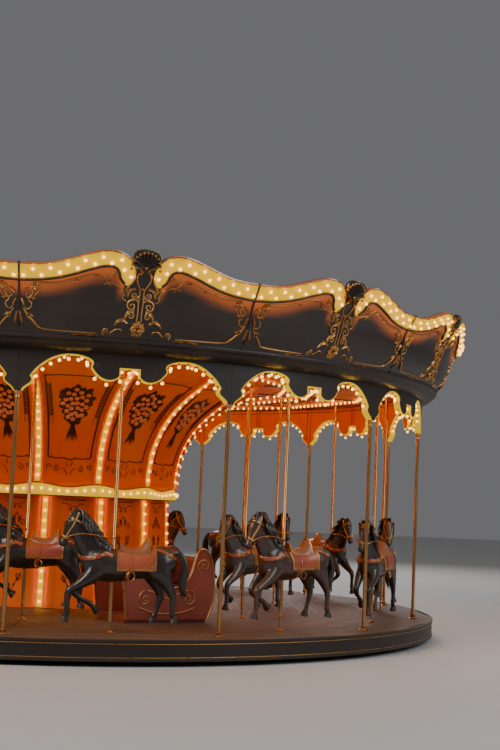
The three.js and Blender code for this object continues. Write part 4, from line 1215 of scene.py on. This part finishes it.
shell_rim = [(SHELL_RIM * math.cos(a), SHELL_FOOT + SHELL_RIM * math.sin(a))
             for a in np.radians(np.linspace(-6, 186, 13))]
bosses = [(x, z, 0.026) for x, z in shell_rim]
bosses += [(0.0, 4.352, 0.026), (0.0, 4.135, 0.012), (0.0, 3.705, 0.036), (1.165, 4.085, 0.014),
           (-1.165, 4.085, 0.014)]
boss_unit = lathe("boss_unit", [(0, -0.012), (0.016, -0.01), (0.02, 0.0), (0.015, 0.011),
                                (0.006, 0.016), (0, 0.017)], 6, gilding)
crown_bosses = at_points("crown_bosses", [crown_at(x, z, p) for x, z, p in bosses],
                         [crown_way(x, z) for x, z, _ in bosses], boss_unit, gilding)
bpy.data.objects.remove(boss_unit)
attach(every_bay(crown_bosses, gilding), "rotor")

# The shell's back, a dished plate that carries the flutes
shell_outline = [(0.034, 4.3), (0.07, 4.335), (0.12, 4.372), (0.145, 4.43), (0.146, 4.475), (0.115, 4.512),
                 (0.06, 4.528), (0.0, 4.532)]
shell_outline += [(-x, z) for x, z in shell_outline[-2::-1]]
shell_back = plate("shell_backs", shell_outline, -0.03, 0.012, crown_at, 0.05, crown_black)
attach(every_bay(shell_back, crown_black), "rotor")

# Canopy
# One round sheet of proofed canvas, dark red, is laced over the sweeps. It is cut as fourteen gores and sags
# a little between the sweeps; a seam with a welt runs up over each. A gilt cap with a ball covers its eye.
ROOF_EDGE = 5.83
ROOF_EYE = 0.25
ROOF_EDGE_HEIGHT = 4.1085
ROOF_SLOPE = 0.18
SAG = 0.03
SEAT_GAP = 0.0003
canvas_red = finish_of("canvas_red", (0.155, 0.022, 0.014), (0.115, 0.018, 0.012), (0.22, 0.06, 0.04),
                       rough=(0.7, 0.9), wear=0.08, dust=0.5, bump=0.3, fineness=260)
radii = np.linspace(ROOF_EYE, ROOF_EDGE, 20)
turns = np.arange(BAYS * 8) * BAY_ANGLE / 8
sag = SAG * np.sin(np.pi * ((turns / BAY_ANGLE) % 1.0)) ** 2
span = ((radii - ROOF_EYE) / (ROOF_EDGE - ROOF_EYE))[:, None]
heights = ROOF_EDGE_HEIGHT + (ROOF_EDGE - radii)[:, None] * ROOF_SLOPE - sag * np.sin(np.pi * span) - 0.0005
points = round_mast(radii[:, None], turns[None, :], heights)
open_sheet = ring_faces(len(radii), len(turns))[:-2]
canopy = new_piece("canopy_canvas", points.reshape(-1, 3), open_sheet, material=canvas_red)
canopy.data.shade_smooth()
shape = bmesh.new()
shape.from_mesh(canopy.data)
bmesh.ops.recalc_face_normals(shape, faces=shape.faces)
if sum(f.normal.z for f in shape.faces) < 0:
    bmesh.ops.reverse_faces(shape, faces=shape.faces)
shape.to_mesh(canopy.data)
shape.free()
thickness = canopy.modifiers.new("cloth", "SOLIDIFY")
thickness.thickness = 0.0015
thickness.offset = -1
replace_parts(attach(canopy, "rotor"), "canopy")
canopy_welts = lines_piece("canopy_welts", [round_mast(radii, 0.0, heights[:, 0] + 0.003)],
                           thick=[[0.009] * len(radii)])
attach(every_bay(canopy_welts, canvas_red, 6), "rotor")

HEM, HEM_HEIGHT = 5.85, 4.11
cap_foot = HEM_HEIGHT + (HEM - ROOF_EYE) * ROOF_SLOPE + SEAT_GAP
cap = lathe("canopy_cap_gilt", [(radius, cap_foot + rise) for radius, rise in (
    (0, 0), (0.252, 0), (0.252, 0.01), (0.24, 0.03), (0.236, 0.06), (0.19, 0.078), (0.13, 0.1),
    (0.09, 0.118), (0.062, 0.14), (0.06, 0.152), (0.07, 0.158), (0.062, 0.164), (0.085, 0.182), (0.09, 0.2),
    (0.085, 0.218), (0.06, 0.236), (0.02, 0.243), (0, 0.245))], 42, gilding)
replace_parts(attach(cap, "rotor"), "canopy_cap")

# Carriages
# Two benches stand on the deck among the inner horses, each between two scrolled side boards. The boards
# are painted red with gilt scrollwork; the seat and the back are buttoned pads of wine-red leather.
CARRIAGE_RADIUS = 3.45
CARRIAGE_SHIFT = 0.033
SIDE_REACH = 0.43
SIDE_WALL = 0.04
ROUNDING = 0.006
CARRIAGE_FLOOR = 0.3003
carriage_red = finish_of("carriage_red", (0.33, 0.055, 0.022), (0.25, 0.04, 0.018), (0.5, 0.3, 0.15),
                         rough=(0.25, 0.42), wear=0.14, dust=0.25, bump=0.1, coat=0.35)
pad_leather = finish_of("pad_leather", (0.21, 0.028, 0.022), (0.15, 0.02, 0.016), (0.3, 0.12, 0.08),
                        rough=(0.34, 0.55), wear=0.1, dust=0.2, bump=0.35, fineness=180)
side_outline = smooth_line([
    (-0.59, 0.04), (-0.675, 0.29), (-0.66, 0.64), (-0.585, 0.88), (-0.48, 0.94), (-0.405, 0.87),
    (-0.305, 0.565), (-0.1, 0.44), (0.17, 0.448), (0.345, 0.565), (0.465, 0.745), (0.585, 0.8),
    (0.68, 0.745), (0.7, 0.6), (0.632, 0.42), (0.585, 0.04)], 3)


def side_board(y):
    """A carriage side, one rounded board cut to the outline."""
    rims = [[(x - inset * np.sign(x), y + depth, z) for x, z in side_outline] for inset, depth in (
        (ROUNDING, 0.0), (0.0, ROUNDING), (0.0, SIDE_WALL - ROUNDING), (ROUNDING, SIDE_WALL))]
    return np.concatenate(rims), ring_faces(len(rims), len(side_outline))


def taken_from(shape):
    """The (points, faces) of a shape that isn't needed any more."""
    shape.verts.index_update()
    points = [tuple(v.co) for v in shape.verts]
    faces = [tuple(v.index for v in f.verts) for f in shape.faces]
    shape.free()
    return points, faces


def box_part(low, high):
    """A rounded board between two corners."""
    shape = bmesh.new()
    bmesh.ops.create_cube(shape, size=1.0)
    size, middle = np.subtract(high, low), np.add(high, low) / 2
    for v in shape.verts:
        v.co = Vector(np.array(v.co) * size + middle)
    bmesh.ops.bevel(shape, geom=list(shape.edges), offset=ROUNDING, segments=2, affect="EDGES")
    return taken_from(shape)


INSIDE = SIDE_REACH - SIDE_WALL
carriage_boards = gathered([
    side_board(-SIDE_REACH), side_board(INSIDE),
    box_part((-0.58, -INSIDE, 0.0), (0.58, INSIDE, 0.08)),
    box_part((-0.55, -INSIDE, 0.075), (-0.205, INSIDE, 0.33)),
    box_part((-0.61, -INSIDE, 0.06), (-0.55, INSIDE, 0.815))])

trim_lines, trim_thick = [], []


def add_trim(points, start, end):
    """A gilt rod on both outer faces, tapering from start to end."""
    line = smooth_line(points, 4) if len(points) < 12 else points
    for y in (-SIDE_REACH - 0.001, SIDE_REACH + 0.001):
        trim_lines.append([(x, y, z) for x, z in line])
        trim_thick.append(np.linspace(start, end, len(line)))


add_trim(np.asarray(side_outline) * (0.985, 0.988) + (0, 0.004), 0.013, 0.013)
for centre, start, angle, turns in (((-0.51, 0.72), 0.115, -60, 1.7), ((0.575, 0.64), 0.09, 240, -1.6),
                                    ((-0.3, 0.3), 0.11, 100, 1.6), ((0.32, 0.3), 0.105, 80, -1.6)):
    add_trim(curl(centre, start, 0.018, angle, turns, 26), 0.011, 0.005)
add_trim([(-0.29, 0.41), (-0.14, 0.36), (0.0, 0.3), (0.14, 0.36), (0.3, 0.405)], 0.01, 0.01)
add_trim([(-0.39, 0.19), (-0.2, 0.13), (0.0, 0.115), (0.2, 0.13), (0.4, 0.19)], 0.01, 0.01)


PAD_BULGE = 0.45
BUTTON_REACH = 0.028
BUTTON_PULL = 0.42


def cushion(low, high, tufts):
    """A buttoned pad: a crowned box whose face is drawn in at each button."""
    shape = bmesh.new()
    bmesh.ops.create_cube(shape, size=1.0)
    bmesh.ops.subdivide_edges(shape, edges=shape.edges, cuts=15, use_grid_fill=True)
    size, middle = np.subtract(high, low), np.add(high, low) / 2
    thin_axis = int(np.argmin(size))
    flat = [k for k in range(3) if k != thin_axis]
    for v in shape.verts:
        unit_place = np.array(v.co) * 2
        edge_u, edge_v = (1 - abs(unit_place[k]) ** 6 for k in flat)
        crown_up = max(edge_u, 0) ** 0.5 * max(edge_v, 0) ** 0.5
        place = unit_place.copy()
        place[thin_axis] *= 1 - PAD_BULGE + PAD_BULGE * crown_up
        if unit_place[thin_axis] > 0:
            for tu, tv in tufts:
                gap = math.hypot((unit_place[flat[0]] - tu) * size[flat[0]] / 2,
                                 (unit_place[flat[1]] - tv) * size[flat[1]] / 2)
                place[thin_axis] -= BUTTON_PULL * math.exp(-(gap / BUTTON_REACH) ** 2)
        for k, other in ((flat[0], flat[1]), (flat[1], flat[0])):
            place[k] *= 1 - 0.035 * (1 - unit_place[other] ** 2) * abs(unit_place[k]) ** 3
        v.co = Vector(place * size / 2 + middle)
    return taken_from(shape)


buttons = [(u, v) for u in (-0.4, 0.4) for v in (-0.66, -0.22, 0.22, 0.66)]
PAD_REACH = INSIDE - 0.012
seat_pad = cushion((-0.56, -PAD_REACH, 0.331), (-0.19, PAD_REACH, 0.44), buttons)
back_pad = cushion((-0.549, -PAD_REACH, 0.44), (-0.455, PAD_REACH, 0.81), [(v, u) for u, v in buttons])
for number, bay in enumerate((1, 9), 1):
    place = (Matrix.Rotation(bay * BAY_ANGLE + CARRIAGE_SHIFT, 4, "Z")
             @ Matrix.Translation((0, -CARRIAGE_RADIUS, CARRIAGE_FLOOR)) @ Matrix.Rotation(math.pi, 4, "Z"))
    body_piece = right_way_out(new_piece(f"carriage_{number}_boards", *carriage_boards,
                                         material=carriage_red))
    body_piece.data.transform(place)
    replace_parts(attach(body_piece, "rotor"), f"carriage_{number}")
    trim = lines_piece(f"carriage_{number}_scrolls", trim_lines, thick=trim_thick)
    grown(trim, (swept_round, {"Sides": 8, "Material": gilding}))
    trim.data.transform(place)
    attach(trim, "rotor")
    for label, pad, fill in (("seat_pad", seat_pad, 0.7), ("back_pad", back_pad, 0.65)):
        soft = right_way_out(new_piece(f"carriage_{number}_{label}", *pad, material=pad_leather), 180)
        soft.data.transform(place)
        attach(soft, "rotor")

# Horses
# Carved galloping horses, all from one pattern, facing the way the ride turns. They are painted dark and
# varnished. Saddle, cloth, straps and bridle are carved in one with the body and picked out in red and gold.
# Each rides on a brass tube that passes through it in front of the saddle. The pattern faces +X.
HOOF_HEIGHT = 0.45
STAGGER = 0.02
POLE_RADIUS = 0.022


def limb(stations, sides=14, per_span=3):
    """A closed rounded limb through (x, y, z, half width, half depth) stations."""
    line = smooth_line(stations, per_span)
    tangent = np.gradient(line[:, :3], axis=0)
    tangent[:, 1] = 0
    tangent = unit_ways(tangent)
    turn = 2 * np.pi * np.arange(sides) / sides
    points = []
    for (x, y, z, wide, deep), t in zip(line, tangent):
        rise = deep * np.sin(turn)
        points.append(np.stack([x - t[2] * rise, y + wide * np.cos(turn), z + t[0] * rise], axis=1))
    return np.concatenate(points), ring_faces(len(points), sides)


trunk = [
    (-0.738, 0, 0.715, 0.03, 0.04), (-0.722, 0, 0.712, 0.088, 0.108), (-0.68, 0, 0.705, 0.132, 0.156),
    (-0.6, 0, 0.697, 0.158, 0.182), (-0.5, 0, 0.684, 0.166, 0.188), (-0.39, 0, 0.664, 0.158, 0.172),
    (-0.27, 0, 0.646, 0.156, 0.164), (-0.14, 0, 0.634, 0.164, 0.176), (-0.01, 0, 0.632, 0.168, 0.19),
    (0.11, 0, 0.65, 0.162, 0.202), (0.21, 0, 0.68, 0.15, 0.206), (0.29, 0, 0.706, 0.124, 0.186),
    (0.345, 0, 0.72, 0.08, 0.13), (0.368, 0, 0.722, 0.03, 0.05)]
neck = [
    (0.12, 0, 0.72, 0.11, 0.15), (0.215, 0, 0.8, 0.108, 0.176), (0.295, 0, 0.9, 0.088, 0.16),
    (0.355, 0, 1.0, 0.07, 0.136), (0.395, 0, 1.09, 0.06, 0.108), (0.425, 0, 1.16, 0.054, 0.082),
    (0.452, 0, 1.205, 0.046, 0.056)]
head = [
    (0.398, 0, 1.215, 0.036, 0.04), (0.43, 0, 1.175, 0.056, 0.066), (0.462, 0, 1.125, 0.066, 0.084),
    (0.492, 0, 1.068, 0.062, 0.082), (0.522, 0, 1.005, 0.046, 0.062), (0.548, 0, 0.948, 0.037, 0.048),
    (0.57, 0, 0.9, 0.036, 0.044), (0.588, 0, 0.862, 0.037, 0.042), (0.6, 0, 0.836, 0.026, 0.028)]
legs = [
    [(0.15, 0.08, 0.64, 0.068, 0.12), (0.235, 0.095, 0.535, 0.064, 0.098), (0.33, 0.103, 0.455, 0.054, 0.068),
     (0.43, 0.105, 0.39, 0.042, 0.048), (0.492, 0.105, 0.35, 0.041, 0.046),
     (0.515, 0.105, 0.29, 0.033, 0.037), (0.512, 0.105, 0.19, 0.025, 0.029),
     (0.51, 0.105, 0.12, 0.029, 0.035), (0.522, 0.105, 0.075, 0.027, 0.031),
     (0.53, 0.105, 0.052, 0.036, 0.042)],
    [(0.16, -0.08, 0.64, 0.068, 0.12), (0.24, -0.095, 0.53, 0.064, 0.098), (0.32, -0.103, 0.44, 0.052, 0.066),
     (0.385, -0.105, 0.365, 0.042, 0.048), (0.402, -0.105, 0.318, 0.041, 0.045),
     (0.365, -0.105, 0.272, 0.033, 0.036), (0.285, -0.105, 0.226, 0.025, 0.028),
     (0.215, -0.105, 0.19, 0.03, 0.034), (0.18, -0.105, 0.16, 0.028, 0.03),
     (0.163, -0.105, 0.135, 0.036, 0.04)],
    [(-0.47, 0.08, 0.68, 0.08, 0.16), (-0.555, 0.1, 0.56, 0.078, 0.126), (-0.62, 0.106, 0.45, 0.058, 0.08),
     (-0.672, 0.106, 0.36, 0.042, 0.054), (-0.7, 0.106, 0.3, 0.036, 0.046),
     (-0.706, 0.106, 0.24, 0.03, 0.036), (-0.7, 0.106, 0.15, 0.025, 0.029), (-0.702, 0.106, 0.1, 0.03, 0.034),
     (-0.72, 0.106, 0.066, 0.028, 0.03), (-0.73, 0.106, 0.044, 0.035, 0.04)],
    [(-0.45, -0.08, 0.67, 0.08, 0.16), (-0.5, -0.1, 0.545, 0.078, 0.126),
     (-0.545, -0.106, 0.44, 0.058, 0.082), (-0.588, -0.106, 0.35, 0.042, 0.056),
     (-0.604, -0.106, 0.29, 0.036, 0.046), (-0.59, -0.106, 0.225, 0.029, 0.035),
     (-0.562, -0.106, 0.14, 0.025, 0.029), (-0.548, -0.106, 0.09, 0.03, 0.034),
     (-0.535, -0.106, 0.06, 0.028, 0.03), (-0.525, -0.106, 0.04, 0.035, 0.04)]]
ears = [[(0.418, s * 0.036, 1.215, 0.017, 0.018), (0.424, s * 0.044, 1.252, 0.015, 0.013),
         (0.436, s * 0.046, 1.284, 0.003, 0.003)] for s in (-1, 1)]
brows = [[(0.47, s * 0.048, 1.15, 0.014, 0.012), (0.486, s * 0.056, 1.128, 0.018, 0.016),
          (0.5, s * 0.05, 1.105, 0.012, 0.012)] for s in (-1, 1)]
shoulders = [[(0.12, s * 0.12, 0.8, 0.03, 0.05), (0.18, s * 0.118, 0.7, 0.046, 0.085),
              (0.215, s * 0.108, 0.6, 0.036, 0.06)] for s in (-1, 1)]
haunches = [[(-0.6, s * 0.11, 0.76, 0.04, 0.06), (-0.56, s * 0.118, 0.67, 0.056, 0.11),
             (-0.52, s * 0.116, 0.58, 0.04, 0.08)] for s in (-1, 1)]
nostrils = [[(0.583, s * 0.026, 0.89, 0.012, 0.012), (0.594, s * 0.031, 0.872, 0.014, 0.015),
             (0.598, s * 0.026, 0.855, 0.009, 0.01)] for s in (-1, 1)]
tail_root = [(-0.7, 0, 0.8, 0.03, 0.034), (-0.745, 0, 0.8, 0.03, 0.034), (-0.78, 0, 0.775, 0.022, 0.026)]
points, faces = gathered([limb(part) for part in (trunk, neck, head, *legs, *ears, *brows,
                                                  *shoulders, *haunches, *nostrils, tail_root)])
horse_form = new_piece("horse_form", points, faces)
remesh = horse_form.modifiers.new("remesh", "REMESH")
remesh.mode = "VOXEL"
remesh.voxel_size = 0.009
relax = horse_form.modifiers.new("relax", "SMOOTH")
relax.factor = 0.5
relax.iterations = 6
thin = horse_form.modifiers.new("thin", "DECIMATE")
thin.ratio = 0.07
grown(horse_form)
shape = bmesh.new()
shape.from_mesh(horse_form.data)
body_tree = BVHTree.FromBMesh(shape)
shape.free()


def lock(stations, sides=4, per_span=2, flat=0.5):
    """A tapering lock of carved hair through (x, y, z, thickness) stations."""
    line = smooth_line(stations, per_span)
    tangent = unit_ways(np.gradient(line[:, :3], axis=0))
    side = unit_ways(np.cross(tangent, (0.0, 1.0, 0.0)), 1e-9)
    other = np.cross(side, tangent)
    turn = 2 * np.pi * np.arange(sides) / sides
    rows = [line[i, :3] + line[i, 3] * (np.cos(turn)[:, None] * side[i]
                                        + flat * np.sin(turn)[:, None] * other[i])
            for i in range(len(line))]
    return np.concatenate(rows), ring_faces(len(rows), sides)


# Mane and tail: carved locks, the mane falling to the left of the neck and the tail flying behind
hair = []
crest = smooth_line([(0.1, 0.01, 0.905), (0.165, 0.01, 0.985), (0.225, 0.01, 1.065), (0.285, 0.01, 1.14),
                     (0.345, 0.01, 1.205), (0.4, 0.006, 1.248)], 2)
strand = random.Random(11)
for k, (x, y, z) in enumerate(crest):
    reach = 0.2 + 0.05 * math.sin(1.7 * k)
    for s in (1, -1):
        back, fall = strand.uniform(-0.02, 0.02), strand.uniform(0.85, 1.1) * (1 if s == 1 else 0.55)
        hair.append(lock([
            (x + 0.02, s * 0.012, z - 0.03, 0.02), (x - 0.01, s * 0.04, z - 0.01, 0.026),
            (x - 0.035 + back, s * 0.078, z - 0.07 * fall, 0.026),
            (x - 0.02 + back, s * 0.1, z - 0.55 * reach * fall, 0.022),
            (x - 0.06 + back, s * 0.112, z - 0.82 * reach * fall, 0.014),
            (x - 0.095 + back, s * 0.11, z - reach * fall, 0.003)]))
for y, lean in ((-0.012, -0.03), (0.0, 0.0), (0.014, 0.03)):
    hair.append(lock([(0.418, y, 1.238, 0.018), (0.462, y + 0.3 * lean, 1.232, 0.02),
                      (0.508, y + lean, 1.17, 0.016), (0.518, y + 1.4 * lean, 1.105, 0.003)]))
for k in range(9):
    a = 2 * math.pi * k / 9
    dy, dz = 0.026 * math.cos(a), 0.022 * math.sin(a)
    wave = 0.5 + 0.5 * math.sin(2.3 * k)
    hair.append(lock([
        (-0.735, 0.5 * dy, 0.8 + 0.4 * dz, 0.018), (-0.792, dy, 0.775 + dz, 0.026),
        (-0.842, 1.7 * dy, 0.68 + dz, 0.03), (-0.852 + 0.5 * dz, 2.0 * dy, 0.56 + dz, 0.03),
        (-0.826 + dz, 1.8 * dy, 0.45 + dz, 0.026), (-0.838 + dz, 1.2 * dy, 0.35 + 0.04 * wave, 0.016),
        (-0.868 + dz, 0.6 * dy, 0.275 + 0.06 * wave, 0.003)]))
hair_points, hair_faces = gathered(hair)

# Hooves
hooves = []
for leg, flat in zip(legs, (1, 0, 1, 1)):
    x, y, z = leg[-1][:3]
    down = np.array([0.01, 0, -0.048]) if flat else np.array([-0.04, 0, -0.026])
    foot = [(*(np.array((x, y, z)) + t * down), r, 1.1 * r)
            for t, r in ((-0.15, 0.034), (0.35, 0.042), (1.0, 0.047))]
    hooves.append(limb(foot, 12, 1))
hoof_points, hoof_faces = gathered(hooves)


def on_body(point, lift):
    """The point moved to the horse's skin, and lifted off it."""
    near_spot, normal, _, _ = body_tree.find_nearest(Vector(point))
    return np.array(near_spot + normal * lift), np.array(normal)


def strap(path, width, depth, lift=0.002, closed=False):
    """A flat strap laid on the skin along a path."""
    path = np.asarray(path, float)
    laid = [on_body(p, 0) for p in path]
    spots, normals = np.array([p for p, _ in laid]), np.array([n for _, n in laid])
    if closed:
        tangent = np.roll(spots, -1, axis=0) - np.roll(spots, 1, axis=0)
    else:
        tangent = np.gradient(spots, axis=0)
    across = unit_ways(np.cross(normals, unit_ways(tangent, 1e-9)), 1e-9)
    rows = []
    for spot, normal, side in zip(spots, normals, across):
        rows.append([spot + side * w * width / 2 + normal * (lift + h * depth) for w, h in (
            (-1, -0.8), (1, -0.8), (1, 0.4), (0.7, 1), (-0.7, 1), (-1, 0.4))])
    return np.concatenate(rows), ring_faces(len(rows), 6, closed)


red_parts, gold_parts = [], []
around = np.radians(360.0 * np.arange(22) / 22)
girth = np.stack([np.full(22, -0.16), 0.2 * np.cos(around), 0.64 + 0.22 * np.sin(around)], axis=1)
red_parts.append(strap(girth, 0.05, 0.006, closed=True))
breast = smooth_line([(0.02, 0.2, 0.79), (0.15, 0.2, 0.76), (0.26, 0.17, 0.73), (0.34, 0.11, 0.715),
                      (0.39, 0, 0.71), (0.34, -0.11, 0.715), (0.26, -0.17, 0.73), (0.15, -0.2, 0.76),
                      (0.02, -0.2, 0.79)], 2)
red_parts.append(strap(breast, 0.048, 0.007))
crupper = smooth_line([(-0.44, 0.1, 0.86), (-0.58, 0.15, 0.82), (-0.7, 0.14, 0.75), (-0.76, 0.05, 0.73),
                       (-0.76, -0.05, 0.73), (-0.7, -0.14, 0.75), (-0.58, -0.15, 0.82),
                       (-0.44, -0.1, 0.86)], 2)
red_parts.append(strap(crupper, 0.036, 0.006))
for x, z, lean, ry, rz in ((0.56, 0.935, 0.03, 0.08, 0.09), (0.47, 1.15, 0.02, 0.1, 0.12)):
    turn = np.linspace(0, 2 * np.pi, 16, endpoint=False)
    up_way = np.array([0.88, 0, 0.47])
    ring_path = [np.array((x, 0, z)) + ry * math.cos(t) * np.array((0, 1.0, 0)) + rz * math.sin(t) * up_way
                 for t in turn]
    gold_parts.append(strap(ring_path, 0.02, 0.005, closed=True))
for s in (-1, 1):
    gold_parts.append(strap(smooth_line([(0.425, s * 0.07, 1.215), (0.47, s * 0.09, 1.1),
                                         (0.53, s * 0.08, 1.0), (0.57, s * 0.06, 0.93)], 2), 0.018, 0.005))
    rein = [(0.572, s * 0.05, 0.92), (0.5, s * 0.105, 0.965), (0.38, s * 0.135, 0.985),
            (0.24, s * 0.128, 0.975), (0.1, s * 0.08, 0.95), (-0.01, s * 0.035, 0.945)]
    gold_parts.append(lock([(*p, 0.007) for p in rein], per_span=2, flat=1.0))


def dome(place, normal, radius, height, sides=9):
    """A turned boss on the skin: a rim, a hollow and a button."""
    normal = np.asarray(normal) / np.linalg.norm(normal)
    side = np.cross(normal, (0.3, 0.2, 1.0))
    side /= np.linalg.norm(side)
    other = np.cross(normal, side)
    rows = [np.array([place + r * radius * (math.cos(t) * side + math.sin(t) * other) + h * height * normal
                      for t in np.linspace(0, 2 * np.pi, sides, endpoint=False)])
            for r, h in ((1.0, -0.5), (1.0, 0.35), (0.86, 0.6), (0.68, 0.35), (0.5, 0.45), (0.36, 0.9),
                         (0.12, 1.1))]
    return np.concatenate(rows), ring_faces(len(rows), sides)


for point, radius in (((0.4, 0, 0.71), 0.042), ((0.27, 0.17, 0.73), 0.03), ((0.27, -0.17, 0.73), 0.03),
                      ((-0.66, 0.16, 0.78), 0.028), ((-0.66, -0.16, 0.78), 0.028), ((0.49, 0, 1.17), 0.018),
                      ((0.14, 0.2, 0.76), 0.024), ((0.14, -0.2, 0.76), 0.024)):
    spot, normal = on_body(point, 0.008)
    gold_parts.append(dome(spot, normal, radius, 0.014))

# Saddle cloth, saddle and stirrups, carved on the back
cloth_rows = []
for side_turn in np.radians(np.linspace(-18, 198, 25)):
    row = []
    for x in np.linspace(-0.47, -0.03, 9):
        target = np.array((x, 0.3 * math.cos(side_turn), 0.64 + 0.32 * math.sin(side_turn)))
        hit, normal, _, _ = body_tree.ray_cast(Vector(target),
                                               (Vector((x, 0, 0.66)) - Vector(target)).normalized())
        row.append((np.array(hit), np.array(normal)))
    cloth_rows.append(row)
red_parts.append(([p + n * lift for lift in (0.01, -0.012) for row in cloth_rows for p, n in row],
                  slab_faces(len(cloth_rows), len(cloth_rows[0]))))
cloth_edge = [cloth_rows[i][0][0] for i in range(len(cloth_rows))] + [p for p, _ in cloth_rows[-1]] + [
    cloth_rows[i][-1][0] for i in range(len(cloth_rows) - 1, -1, -1)] + [p for p, _ in cloth_rows[0][::-1]]
gold_parts.append(strap(cloth_edge, 0.026, 0.008, lift=0.008, closed=True))

seat_rows = []
for k, x in enumerate(np.linspace(-0.4, -0.075, 13)):
    t = k / 12
    rise = 0.085 * math.exp(-((t - 0.02) / 0.16) ** 2) + 0.055 * math.exp(-((t - 1.0) / 0.13) ** 2) + 0.02
    half_width = 0.125 - 0.045 * t + 0.02 * math.sin(math.pi * t)
    row = []
    for y in np.linspace(-half_width, half_width, 9):
        hit, normal, _, _ = body_tree.ray_cast(Vector((x, y, 1.6)), Vector((0, 0, -1)))
        lift = rise * (1 - abs(y / half_width) ** 3) + 0.014
        row.append((np.array(hit) + np.array((0, 0, lift)), np.array((0, 0, 1.0))))
    seat_rows.append(row)
top = np.array([[p for p, _ in row] for row in seat_rows])
under = top.copy()
for i, row in enumerate(under):
    for k, p in enumerate(row):
        hit, _, _, _ = body_tree.ray_cast(Vector((p[0], p[1], 1.6)), Vector((0, 0, -1)))
        p[2] = hit[2] - 0.005
saddle = (np.concatenate([top.reshape(-1, 3), under.reshape(-1, 3)]), slab_faces(*top.shape[:2]))
for row, size in ((top[0], 0.012), (top[-1], 0.01)):
    gold_parts.append(lock([(*(p + np.array((0, 0, 0.004))), size) for p in row[::2]], sides=6, flat=1.0))
for s in (-1, 1):
    drop_line = smooth_line([(-0.2, s * 0.17, 0.8), (-0.19, s * 0.2, 0.7), (-0.18, s * 0.2, 0.6)], 2)
    red_parts.append(strap(drop_line, 0.028, 0.012, lift=0.01))
    iron = [(-0.18 + 0.045 * math.sin(t), s * 0.195, 0.525 + 0.05 * math.cos(t)) for t in
            np.linspace(0.0, 2 * math.pi, 11)]
    gold_parts.append(lock([(*p, 0.007) for p in iron], per_span=1, flat=1.0))

eyes = [dome(np.array((0.488, s * 0.058, 1.118)), (0.3, s * 1.0, 0.1), 0.012, 0.01, 10) for s in (-1, 1)]

black_coat, bay_coat, grey_coat = [
    finish_of(name, colour, tone, under, rough=(0.22, 0.4), wear=0.1, dust=dust, bump=0.06, coat=0.45,
              fineness=50)
    for name, colour, tone, under, dust in (
        ("black_coat", (0.014, 0.009, 0.007), (0.03, 0.019, 0.013), (0.12, 0.07, 0.04), 0.14),
        ("bay_coat", (0.075, 0.03, 0.016), (0.045, 0.02, 0.012), (0.15, 0.07, 0.04), 0.25),
        ("grey_coat", (0.12, 0.095, 0.075), (0.065, 0.05, 0.04), (0.16, 0.1, 0.06), 0.25))]
hair_paint = finish_of("hair_paint", (0.02, 0.012, 0.009), (0.044, 0.026, 0.016), (0.18, 0.09, 0.04),
                       rough=(0.3, 0.5), wear=0.12, dust=0.14, bump=0.2, fineness=40,
                       stretch=(1, 1, 0.3), coat=0.2)
strap_red = finish_of("strap_red", (0.34, 0.05, 0.02), (0.46, 0.1, 0.032), (0.5, 0.3, 0.12),
                      rough=(0.25, 0.42), wear=0.15, dust=0.2, bump=0.12, coat=0.35)
saddle_tan = finish_of("saddle_tan", (0.36, 0.13, 0.045), (0.28, 0.09, 0.032), (0.25, 0.1, 0.05),
                       rough=(0.25, 0.42), wear=0.2, dust=0.2, bump=0.12, coat=0.35)

for name, part_points, part_faces in (("horse_hair", hair_points, hair_faces),
                                      ("horse_hooves", hoof_points, hoof_faces),
                                      ("horse_red", *gathered(red_parts)),
                                      ("horse_gold", *gathered(gold_parts)), ("horse_saddle", *saddle),
                                      ("horse_eyes", *gathered(eyes))):
    right_way_out(new_piece(name, part_points, part_faces), 110 if name == "horse_hair" else 50)
horse_form.data.shade_smooth()

pole_pattern = lathe("pole_pattern", [
    (0.0155, 0.44), (0.0215, 0.44), (0.024, 0.444), (0.024, 0.452), (POLE_RADIUS, 0.458), (POLE_RADIUS, 0.95),
    (0.03, 0.953), (0.03, 0.962), (POLE_RADIUS, 0.97), (POLE_RADIUS, 1.262), (0.034, 1.27), (0.034, 1.276),
    (0.026, 1.292), (POLE_RADIUS, 1.3), (POLE_RADIUS, 3.8495), (0, 3.8495), (0, 1.0), (0.0155, 0.999)],
    14, polished_brass)

patterns = {name: bpy.data.objects[name] for name in ("horse_form", "horse_hair", "horse_hooves", "horse_red",
                                                      "horse_gold", "horse_saddle", "horse_eyes")}
paints = {"horse_hair": hair_paint, "horse_hooves": crown_black, "horse_red": strap_red,
          "horse_gold": gilding, "horse_saddle": saddle_tan, "horse_eyes": polished_brass}
for number, (body, radius, azimuth) in enumerate(horse_places):
    outer = body.startswith("horse_outer")
    index = int(body[-2:]) - 1
    rise = (-STAGGER if index % 2 == 0 else STAGGER) * (1 if outer else -1)
    place = (Matrix.Rotation(azimuth, 4, "Z") @ Matrix.Translation((0, -radius, HOOF_HEIGHT + rise))
             @ Matrix.Rotation(math.pi, 4, "Z"))
    coat = (black_coat, bay_coat, black_coat, grey_coat)[number % 4]
    for name, pattern in patterns.items():
        piece = in_scene(f"{body}_{name[6:]}", pattern.data.copy())
        piece.data.transform(place)
        piece.data.materials.clear()
        piece.data.materials.append(coat if name == "horse_form" else paints[name])
        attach(piece, body)
        if name == "horse_form":
            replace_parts(piece, body)
    tube = in_scene(f"{body}_pole", pole_pattern.data.copy())
    tube.data.transform(Matrix.Rotation(azimuth, 4, "Z") @ Matrix.Translation((0, -radius, rise)))
    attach(tube, body)
for pattern in (*patterns.values(), pole_pattern):
    bpy.data.objects.remove(pattern)

for unit in (lamp_globe, lamp_cup):
    bpy.data.objects.remove(unit)
